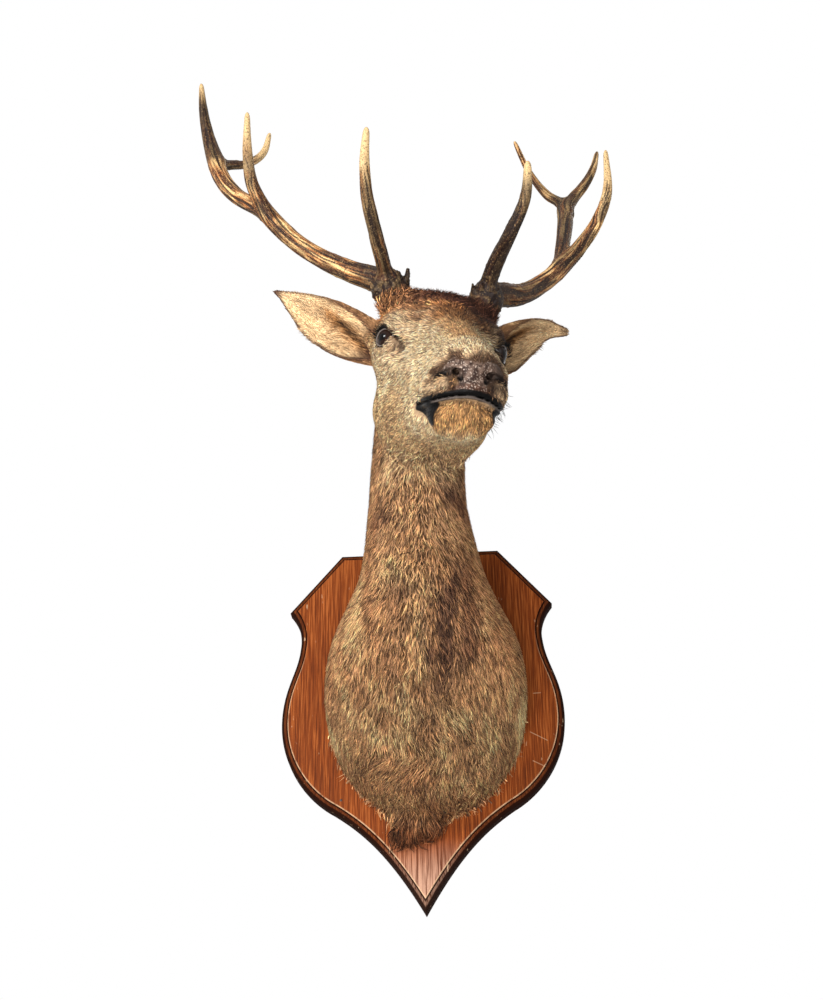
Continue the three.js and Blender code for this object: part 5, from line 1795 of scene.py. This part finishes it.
@dataclass(frozen=True)
class SkinFinish(Finish):
    """Skin under the coat, bare and damp on the nose and the lips."""

    pebble: float = 430.0
    pore: tuple = (36, 25, 21)
    flake: tuple = (176, 158, 144)

    def surface(self, graph: Graph, effects: Effects) -> dict:
        """The shader's inputs."""
        place, bare, pad = graph.place(), graph.carried("bare"), graph.carried("pad")
        _, grain = effects.mottle(graph, place, 90.0, 700.0)
        dark, pale = effects.mottle(graph, place, 190.0, 520.0)
        colour = graph.painted(
            graph.coat(graph.spread(grain, 0.3, 0.7), (0.7, 0.68, 0.66)),
            (tint(*self.pore), graph.times(graph.spread(dark, 0.48, 0.58), pad), 0.75),
            (tint(*self.flake), graph.times(graph.spread(pale, 0.56, 0.64), pad), 0.6),
        )
        cells = {"Vector": place, "Scale": self.pebble}
        pebbles = graph.node("ShaderNodeTexVoronoi", cells, feature="SMOOTH_F1").outputs["Distance"]
        height = graph.maths("ADD", graph.times(pebbles, bare), graph.times(grain, 0.6))
        bump = graph.bump(height, 0.4, 0.0009)
        return {"Base Color": colour, "Roughness": graph.spread(bare, 3.2, -1.6), "Normal": bump}


@dataclass(frozen=True)
class AntlerFinish(Finish):
    """Antler: tan ridges, dark grooves, pale pearls and ivory tips."""

    tan: tuple = (218, 178, 122)
    honey: tuple = (150, 92, 48)
    bark: tuple = (72, 38, 20)
    dark: tuple = (22, 11, 8)
    ivory: tuple = (188, 158, 114)

    def surface(self, graph: Graph, effects: Effects) -> dict:
        """The shader's inputs."""
        tan, dark, ivory = tint(*self.tan), tint(*self.dark), graph.carried("ivory")
        _, grain = effects.mottle(graph, graph.place(), 75.0, 520.0)
        unrolled = {axis.upper(): graph.carried(f"lie_{axis}") for axis in "xyz"}
        lie = graph.node("ShaderNodeCombineXYZ", unrolled).outputs[0]
        broad, fine = effects.mottle(graph, lie, 0.42, 1.1)
        stops = (0.05, tint(*self.bark)), (0.4, tint(*self.honey)), (0.95, tan)
        streak = graph.times(graph.spread(broad, 0.5, 0.64), graph.spread(ivory, 1.25, 0.2))
        colour = graph.painted(
            graph.ramp(graph.carried("tone"), *stops),
            (tint(*self.ivory), ivory, 1.0),
            (dark, streak, 0.72),
            (tan, graph.spread(fine, 0.48, 0.34), 0.4),
            (dark, graph.spread(graph.carried("groove"), 0.15, 0.6), 0.88),
            # Near-black over the stains, the coronet and the painted shade on the undersides.
            (dark, graph.carried("stain_and_underside_shade"), 0.98),
            (tan, graph.carried("pearl"), 0.1),
            (tan, graph.spread(grain, 0.42, 0.3), 0.2),
            (dark, graph.spread(grain, 0.52, 0.64), 0.66),
        )
        height = graph.maths("SUBTRACT", grain, graph.times(broad, 0.9))
        return {"Base Color": colour, "Normal": graph.bump(height, 0.45, 0.0012)}


@dataclass(frozen=True)
class WoodFinish(Finish):
    """Polished mahogany with an upright grain, a few scratches and joint lines, each a start and a way."""

    dark: tuple = (62, 25, 8)
    middle: tuple = (104, 47, 14)
    pale: tuple = (146, 80, 36)
    tip_reflection: tuple = (182, 148, 126)
    wear_and_highlight: tuple = (214, 178, 140)
    scratches: tuple = (
        ((0.157, -0.026, 0.033), (0.010, 0, 0.0005)),
        ((0.150, -0.026, -0.024), (0.023, 0, -0.013)),
        ((0.152, -0.026, -0.066), (0.019, 0, -0.010)),
    )
    joints: tuple = (
        ((-0.052, -0.026, -0.130), (-0.003, 0, -0.084)),
        ((0.060, -0.026, -0.128), (0.004, 0, -0.078)),
    )

    def surface(self, graph: Graph, effects: Effects) -> dict:
        """The shader's inputs."""
        dark, wear_and_highlight, place, shade = tint(*self.dark), tint(*self.wear_and_highlight), graph.place(), graph.carried("shade")
        line, pore = effects.mottle(graph, place, 820.0, 1300.0, (1.0, 1.0, 0.025))
        cloud, speck = effects.mottle(graph, place, 12.0, 150.0, (1.0, 1.0, 0.35))
        value = graph.maths("ADD", graph.times(line, 0.7), graph.times(cloud, 0.3))
        stops = (0.0, dark), (0.5, tint(*self.middle)), (1.0, tint(*self.pale))
        height = graph.node("ShaderNodeSeparateXYZ", {"Vector": place}).outputs["Z"]
        # A pale pinkish patch near the board's bottom tip, broken up by the grain: a painted reflection.
        tip_reflection_mask = graph.times(graph.spread(height, -0.165, -0.235), graph.spread(line, 0.3, 0.6))
        colour = graph.painted(
            graph.ramp(graph.spread(value, 0.28, 0.72), *stops),
            (dark, graph.spread(pore, 0.56, 0.70), 0.55),
            (tint(*self.tip_reflection), tip_reflection_mask, 0.6),
            (dark * 0.12, shade, 0.97),
            (wear_and_highlight, graph.spread(speck, 0.68, 0.76), 0.4),
            # The pale line on the step's edge, patchy: partly wear, partly a painted highlight.
            (wear_and_highlight, graph.carried("wear_and_highlight"), graph.spread(speck, 0.25, 0.5)),
            *((wear_and_highlight, effects.mark(graph, place, *mark, 0.0009), 0.25) for mark in self.scratches),
            *((dark, effects.mark(graph, place, *mark, 0.0012), 0.75) for mark in self.joints),
        )
        bump = graph.bump(graph.maths("ADD", graph.times(pore, 0.5), line), 0.18, 0.0012)
        roughness = graph.maths("ADD", graph.times(shade, 0.45), 0.5)
        return {"Base Color": colour, "Roughness": roughness, "Normal": bump}


@dataclass(frozen=True)
class EyeFinish(Finish):
    """Dark brown glass eye with a wide pupil."""

    iris: tuple = (34, 20, 14)
    dark: tuple = (9, 7, 7)

    def surface(self, graph: Graph, effects: Effects) -> dict:
        """The shader's inputs."""
        dark = tint(*self.dark)
        tone, _ = effects.mottle(graph, graph.place(), 300.0, 1500.0)
        brown = graph.painted(tint(*self.iris), (dark, tone, 0.6))
        iris, pupil = graph.carried("iris"), graph.carried("pupil")
        return {"Base Color": graph.painted(dark, (brown, iris, 1.0), (dark * 0.4, pupil, 1.0))}


@dataclass(frozen=True)
class PlainFinish(Finish):
    """One colour all over, a little uneven."""

    colour: tuple = (128, 128, 128)

    def surface(self, graph: Graph, effects: Effects) -> dict:
        """The shader's inputs."""
        tone, _ = effects.mottle(graph, graph.place(), 70.0, 600.0)
        colour = tint(*self.colour)
        return {"Base Color": graph.ramp(tone, (0.25, colour * 0.72), (0.75, colour))}


# ---------------------------------------------------------------- board
@dataclass
class ShieldBoard:
    """The wooden shield: a flat face with a thin step round it and a rounded edge."""

    thickness: float = 26.0
    top: tuple = (115.0, 262.0)
    shoulder: tuple = (190.5, 174.0)
    waist: tuple = (174.5, 116.0)
    belly: tuple = (199.5, 2.0)
    turn: tuple = (125.0, -128.0)
    tip_z: float = -271.0
    mould_start: float = 15.0
    mould_inset: float = 8.0
    step_top: float = 24.0
    step_inset: float = 9.5
    pocket_half: float = 34.3
    pocket_z: tuple = (176.7, 203.3)
    pocket_depth: float = 6.0
    nail: tuple = (-114.0, -113.0)
    corner_reach: float = 40.0
    back_shade: float = 0.55

    @staticmethod
    def bent(*points: tuple, fine: int = 36) -> Array:
        """Points on a curve through two ends, drawn by the ones between."""
        t = np.linspace(0, 1, fine, endpoint=False)[:, None]
        order = len(points) - 1
        parts = (math.comb(order, k) * (1 - t) ** (order - k) * t**k for k in range(len(points)))
        return sum(part * np.array(point) for part, point in zip(parts, points))

    def outline(self) -> Array:
        """The right half's outline mirrored into a closed loop, with x to the stag's left and z up."""
        (wx, wz), (bx, bz), (tx, tz) = self.waist, self.belly, self.turn
        half = np.concatenate([
            self.bent((0, self.top[1]), self.top),
            self.bent(self.top, self.shoulder),
            self.bent(self.shoulder, (wx - 5, wz + 32), self.waist),
            self.bent(self.waist, (wx + 4, wz - 38), (bx, bz + 54), self.belly),
            self.bent(self.belly, (bx, bz - 57), (tx + 42, tz + 24), self.turn),
            self.bent(self.turn, (tx - 37, tz - 24), (0.4 * tx, 0.68 * self.tip_z), (0, self.tip_z)),
            [[0, self.tip_z]],
        ])
        loop = np.concatenate([half, (half * np.array([-1, 1]))[::-1][1:-1]])
        after = np.roll(loop, -1, axis=0)
        return loop[::-1] if np.sum(loop[:, 0] * after[:, 1] - loop[:, 1] * after[:, 0]) > 0 else loop

    def inset(self, loop: Array, depth: float) -> Array:
        """Draw the outline in by a depth, with its corners sharp and the points beside them kept clear."""
        before, after = unit(loop - np.roll(loop, 1, axis=0)), unit(np.roll(loop, -1, axis=0) - loop)
        first, second = (np.column_stack([way[:, 1], -way[:, 0]]) for way in (before, after))
        moved = loop + depth * (first + second) / np.maximum(1 + dot(first, second), 0.5)[:, None]
        cross = before[:, 0] * after[:, 1] - before[:, 1] * after[:, 0]
        turn = np.abs(np.arctan2(cross, dot(before, after)))
        for corner in np.flatnonzero(turn > 0.3):
            slide = depth * math.tan(turn[corner] / 2)
            for way, along in ((-1, -before), (1, after)):
                spots = (corner + way * np.arange(1, 30)) % len(loop)
                away = np.linalg.norm(loop[spots] - loop[corner], axis=1)
                moved[spots] += along[spots] * (slide * np.clip(1 - away / self.corner_reach, 0, 1))[:, None]
        return moved

    def profile(self) -> list:
        """The edge's section from the back to the face, as depths inwards and distances forwards."""
        rise, inset = self.step_top - self.mould_start, self.step_inset
        angles = np.linspace(0, np.pi / 2, 12)[1:]
        return [
            *((0.0, 0.0), (0.0, 3.0), (0.0, 9.0), (0.0, self.mould_start)),
            *((self.mould_inset * (1 - math.cos(a)), self.mould_start + rise * math.sin(a)) for a in angles),
            *((inset - 0.3, self.step_top), (inset, self.step_top + 0.3), (inset, self.thickness - 0.5)),
            *((inset + 0.5, self.thickness), (inset + 1.6, self.thickness)),
        ]

    def build(self) -> MeshData:
        """Make the board as a closed body with the recess for its hanger."""
        loop, profile = self.outline(), self.profile()
        count = len(loop)
        rings = []
        for depth, out in profile:
            flat = self.inset(loop, depth)
            rings.append(np.column_stack([flat[:, 0], np.full(count, -out), flat[:, 1]]))
        for share in (0.9, 0.75, 0.55, 0.3):
            shrunk = rings[len(profile) - 1] * np.array([share, 1, share])
            rings.append(shrunk + np.array([0, 0, (1 - share) * -10]))
        wear_and_highlight, shade = np.zeros((2, len(rings)))
        for level, (depth, out) in enumerate(profile):
            # A pale line along the step's edge, kept to the lower part of the board: partly wear, partly a
            # painted highlight.
            on_step = self.step_inset <= depth <= self.step_inset + 0.6 and out > self.step_top + 0.2
            wear_and_highlight[level] = 0.5 if on_step else 0.0
            shade[level] = (1.0 if depth < 4.0 else 0.6) if depth < self.step_inset else 0.0
        shade[len(profile) - 6 : len(profile) - 3] = 1.0
        shade[0] = self.back_shade
        data = self.open_back(closed_loft(np.stack(rings)).facing_out(), count)
        added = np.full(len(data.points) - count * len(rings), self.back_shade)
        added[1] = 0.0
        wear_and_highlight = np.append(np.repeat(wear_and_highlight, count), 0 * added) * smooth(150, 20, data.points[:, 2])
        data.values = {"wear_and_highlight": wear_and_highlight, "shade": np.append(np.repeat(shade, count), added)}
        return data

    def open_back(self, data: MeshData, count: int) -> MeshData:
        """Swap the plain back, with so many points round it, for one with the hanger's recess in it."""
        start = len(data.points)
        kept = data.triangles[~np.any(data.triangles == start - 2, axis=1)]
        (low, high), half = self.pocket_z, self.pocket_half
        rim = np.array([(-half, 0, low), (half, 0, low), (half, 0, high), (-half, 0, high)])
        points = np.concatenate([data.points, rim, rim - np.array([0, self.pocket_depth, 0])])
        outer, inner = ([Vector((x, z, 0)) for x, _, z in edge] for edge in (data.points[:count], rim))
        back = np.array(tessellate_polygon([outer, inner]))
        back = np.where(back >= count, back - count + start, back)
        recess = [[4, 5, 6], [4, 6, 7]]
        for a, b in ((0, 1), (1, 2), (2, 3), (3, 0)):
            recess += [[a, b, b + 4], [a, b + 4, a + 4]]
        opened = MeshData(points, np.array(recess) + start)
        centre = np.array([0, -self.pocket_depth / 2, sum(self.pocket_z) / 2])
        hidden = dot(opened.slants(), centre - opened.middles()) < 0
        inwards = MeshData(points, back).slants()[:, 1] < 0
        back, recess = (
            np.where(wrong[:, None], faces[:, ::-1], faces)
            for faces, wrong in ((back, inwards), (opened.triangles, hidden))
        )
        return MeshData(points, np.concatenate([kept, back, recess]))

    def nail_head(self) -> MeshData:
        """A small dark nail in the face."""
        x, z = self.nail
        first, last = (np.array([x, out - self.thickness, z]) for out in (1.0, -0.25))
        return tube(np.array([first, (first + last) / 2, last]), np.array([1.9, 1.9, 1.7]), 14)


# ---------------------------------------------------------------- stage
@dataclass
class Studio:
    """Camera, floor, lamps and a pale surround."""

    distance: float = 2.4
    aside_deg: float = 3.0
    lift_deg: float = -20.0
    aim: tuple = (-0.0118, 0.0, 0.3616)
    roll_deg: float = -0.913
    lens: float = 60.48
    floor_z: float = -1.5
    floor_half: float = 7.0
    surround: float = 0.34
    lamps: tuple = (
        ("Key", (-2.1, -2.6, 0.9), 0.8, 112.0),
        ("Fill", (2.4, -2.2, 0.6), 1.6, 18.0),
        ("Low fill", (-0.3, -2.5, -0.95), 1.2, 86.0),
        ("Rim", (0.8, 1.6, 2.2), 1.4, 20.0),
    )

    def build(self) -> None:
        """Set all of it up."""
        scene = bpy.context.scene
        scene.view_settings.view_transform = "Standard"
        self.place_camera(scene)
        self.lay_floor()
        self.light_world(scene)
        for lamp in self.lamps:
            self.hang_lamp(*lamp)

    def place_camera(self, scene: bpy.types.Scene) -> None:
        """Stand the camera low in front of the head, looking up."""
        aside, lift, roll = (math.radians(angle) for angle in (self.aside_deg, self.lift_deg, self.roll_deg))
        spot = Vector((math.sin(aside) * math.cos(lift), -math.cos(aside) * math.cos(lift), math.sin(lift)))
        camera = bpy.data.objects.new("Camera", bpy.data.cameras.new("Camera"))
        camera.location = spot * self.distance
        turn = (Vector(self.aim) - camera.location).to_track_quat("-Z", "Y")
        camera.rotation_mode = "QUATERNION"
        camera.rotation_quaternion = turn @ Quaternion((0.0, 0.0, 1.0), roll)
        camera.data.lens = self.lens
        camera.data.sensor_width = 36.0
        scene.collection.objects.link(camera)
        scene.camera = camera

    def lay_floor(self) -> None:
        """A plain pale floor well under the mount."""
        mesh = bpy.data.meshes.new("Floor")
        half = self.floor_half
        corners = [(-half, -half, 0), (half, -half, 0), (half, half, 0), (-half, half, 0)]
        mesh.from_pydata(corners, [], [(0, 1, 2, 3)])
        floor = bpy.data.objects.new("Floor", mesh)
        floor.location.z = self.floor_z
        material = bpy.data.materials.new("Pale floor")
        material.use_nodes = True
        shader = material.node_tree.nodes["Principled BSDF"]
        shader.inputs["Base Color"].default_value = (0.93, 0.93, 0.92, 1.0)
        shader.inputs["Roughness"].default_value = 0.9
        mesh.materials.append(material)
        bpy.context.scene.collection.objects.link(floor)

    def light_world(self, scene: bpy.types.Scene) -> None:
        """A white surround for the eye, and a gentler one for the light."""
        world = bpy.data.worlds.new("Surround")
        world.use_nodes = True
        scene.world = world
        graph = Graph(world.node_tree)
        path = graph.node("ShaderNodeLightPath")
        seen = graph.maths("MAXIMUM", path.outputs["Is Camera Ray"], path.outputs["Is Transmission Ray"])
        seen = graph.maths("MAXIMUM", seen, path.outputs["Is Glossy Ray"])
        strength = graph.node("ShaderNodeMapRange", {"Value": seen, "To Min": self.surround, "To Max": 1.0})
        background = world.node_tree.nodes["Background"]
        background.inputs["Color"].default_value = (1.0, 1.0, 1.0, 1.0)
        graph.feed(background.inputs["Strength"], strength.outputs[0])

    @staticmethod
    def hang_lamp(name: str, at: tuple, size: float, power: float) -> None:
        """Hang a soft square lamp that faces the head."""
        light = bpy.data.lights.new(name, "AREA")
        light.shape = "SQUARE"
        light.size = size
        light.energy = power
        lamp = bpy.data.objects.new(name, light)
        lamp.location = at
        towards = Vector((0.0, -0.3, 0.2)) - lamp.location
        lamp.rotation_euler = towards.to_track_quat("-Z", "Y").to_euler()
        bpy.context.scene.collection.objects.link(lamp)


# ---------------------------------------------------------------- the whole mount
@dataclass
class StagMount:
    """Builds every sub-assembly and dresses it."""

    head: HeadAxes
    board: ShieldBoard = field(default_factory=ShieldBoard)
    face_pieces: int = 3
    neck_pieces: int = 4
    ear_tufts: int = 9000

    def build(self) -> None:
        """Build the board, the skin with its coat, the ears, the eyes and the antlers."""
        effects = Effects()
        hair = HairFinish("Hair", roughness=0.75, specular=0.12).make(effects)
        skin = SkinFinish("Skin", roughness=0.8, specular=0.05).make(effects)
        self.build_board(effects)
        self.build_hide(hair, skin)
        self.build_ears(hair, skin)
        self.build_eyes(effects, hair)
        self.build_antlers(effects)

    def build_board(self, effects: Effects) -> None:
        """The shield, its nail and the finish of its hanger."""
        wood = WoodFinish("Mahogany", roughness=0.45, specular=0.06).make(effects)
        steel = PlainFinish("Hanger steel", roughness=0.4, metallic=1.0, colour=(176, 176, 172)).make(effects)
        iron = PlainFinish("Nail iron", roughness=0.6, colour=(40, 34, 32)).make(effects)
        make_piece("shield", self.board.build(), wood, ("shield_board",), rounded=False)
        make_piece("nail", self.board.nail_head(), iron)
        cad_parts["hanger_plate"].material_slots[0].material = steel

    def build_hide(self, hair: Material, look: Material) -> None:
        """The skin from nose to board, and the coat over it."""
        hide = Hide(self.head, -self.board.thickness)
        skin = hide.build()
        coat = Coat(hide, skin)
        groups = (
            ("face_hair", coat.face_tufts(), self.face_pieces, "face_coat"),
            ("forelock", coat.crown_tufts(), 1, "face_coat"),
            ("neck_hair", coat.neck_tufts(), self.neck_pieces, "neck_coat"),
            ("whiskers", coat.whiskers(), 1, "face_coat"),
        )
        for name, tufts, pieces, slot in groups:
            for k in range(pieces):
                self.add_tufts(f"{name}_{k + 1}" if pieces > 1 else name, tufts, hair, k, pieces)
        p, place = skin.points, self.head.to_mount(skin.points)
        bare = np.maximum(bare_nose(p), lips(p))
        pad = bare_nose(p) * (1 - lips(p)) * (1 - nostril(p)) * smooth(30, 12, p[:, 1])
        skin.values = {"bare": bare, "pad": pad}
        # Under the coat the skin takes about a third of the coat's colour, and the bare nose and lips take all
        # of it: painted shade in the gaps between the tufts.
        skin.coat = coat_colour(p, place) * (0.34 + 0.66 * bare[:, None])
        skin.points = place
        nodes = ("head", "muzzle", "lower_jaw", "neck_upper", "neck_lower", "chest_tab")
        make_piece("skin", skin, look, nodes)

    def add_tufts(
        self, name: str, tufts: Tufts, hair: Material, first: int = 0, every: int = 1
    ) -> None:
        """Make one piece of hair from every so many tufts in the head's axes."""
        data = tufts.mesh(np.arange(first, len(tufts.paths), every))
        data.points = self.head.to_mount(data.points)
        make_piece(name, data, hair)

    def build_ears(self, hair: Material, look: Material) -> None:
        """Both ears with their hair."""
        for name, side, lift, seed in (("left", 1.0, 1.0, 21), ("right", -1.0, 0.0, 22)):
            ear = EarForm(side, lift, EAR_WIDTHS[name], EAR_SPINES[name])
            wall = ear.wall()
            wall.values = {"bare": np.zeros(len(wall.points)), "pad": np.zeros(len(wall.points))}
            wall.points = self.head.to_mount(wall.points)
            make_piece(f"ear_skin_{name}", wall, look, (f"ear_{name}",))
            tufts = ear.tufts(self.ear_tufts, np.random.default_rng(seed))
            self.add_tufts(f"ear_hair_{name}", tufts, hair)

    def build_eyes(self, effects: Effects, hair: Material) -> None:
        """Glass eyes, lid rims and lashes."""
        glass = EyeFinish("Eye glass", roughness=0.04, specular=0.11).make(effects)
        rim = PlainFinish("Lid rim", roughness=0.32, coat=0.3, colour=(92, 82, 76)).make(effects)
        eyes = Eyes(self.head)
        for name, side, seed in (("left", 1.0, 31), ("right", -1.0, 32)):
            make_piece(f"glass_eye_{name}", eyes.globe(side), glass, (f"eye_{name}",))
            make_piece(f"lid_rim_{name}", eyes.rims(side), rim)
            lashes = eyes.lash_tufts(side, np.random.default_rng(seed))
            make_piece(f"lashes_{name}", lashes.mesh(np.arange(len(lashes.paths))), hair)

    def build_antlers(self, effects: Effects) -> None:
        """Both antlers."""
        horn = AntlerFinish("Antler", roughness=0.55, specular=0.15).make(effects)
        for name, limbs, seed, stains, snags in (
            ("right", RIGHT_LIMBS, 81, RIGHT_STAINS, RIGHT_SNAGS),
            ("left", LEFT_LIMBS, 97, LEFT_STAINS, LEFT_SNAGS),
        ):
            data = Antler(limbs, self.head, seed, stains, snags).build()
            nodes = tuple(f"antler_{name}_{part}" for part in ANTLER_PARTS)
            make_piece(f"antler_{name}", data, horn, nodes)


def main() -> None:
    """Build the mount and its stage."""
    logging.basicConfig(level=logging.INFO, format="%(message)s")
    StagMount(HeadAxes.from_frame()).build()
    Studio().build()
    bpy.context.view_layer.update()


if __name__ == "__main__":
    main()
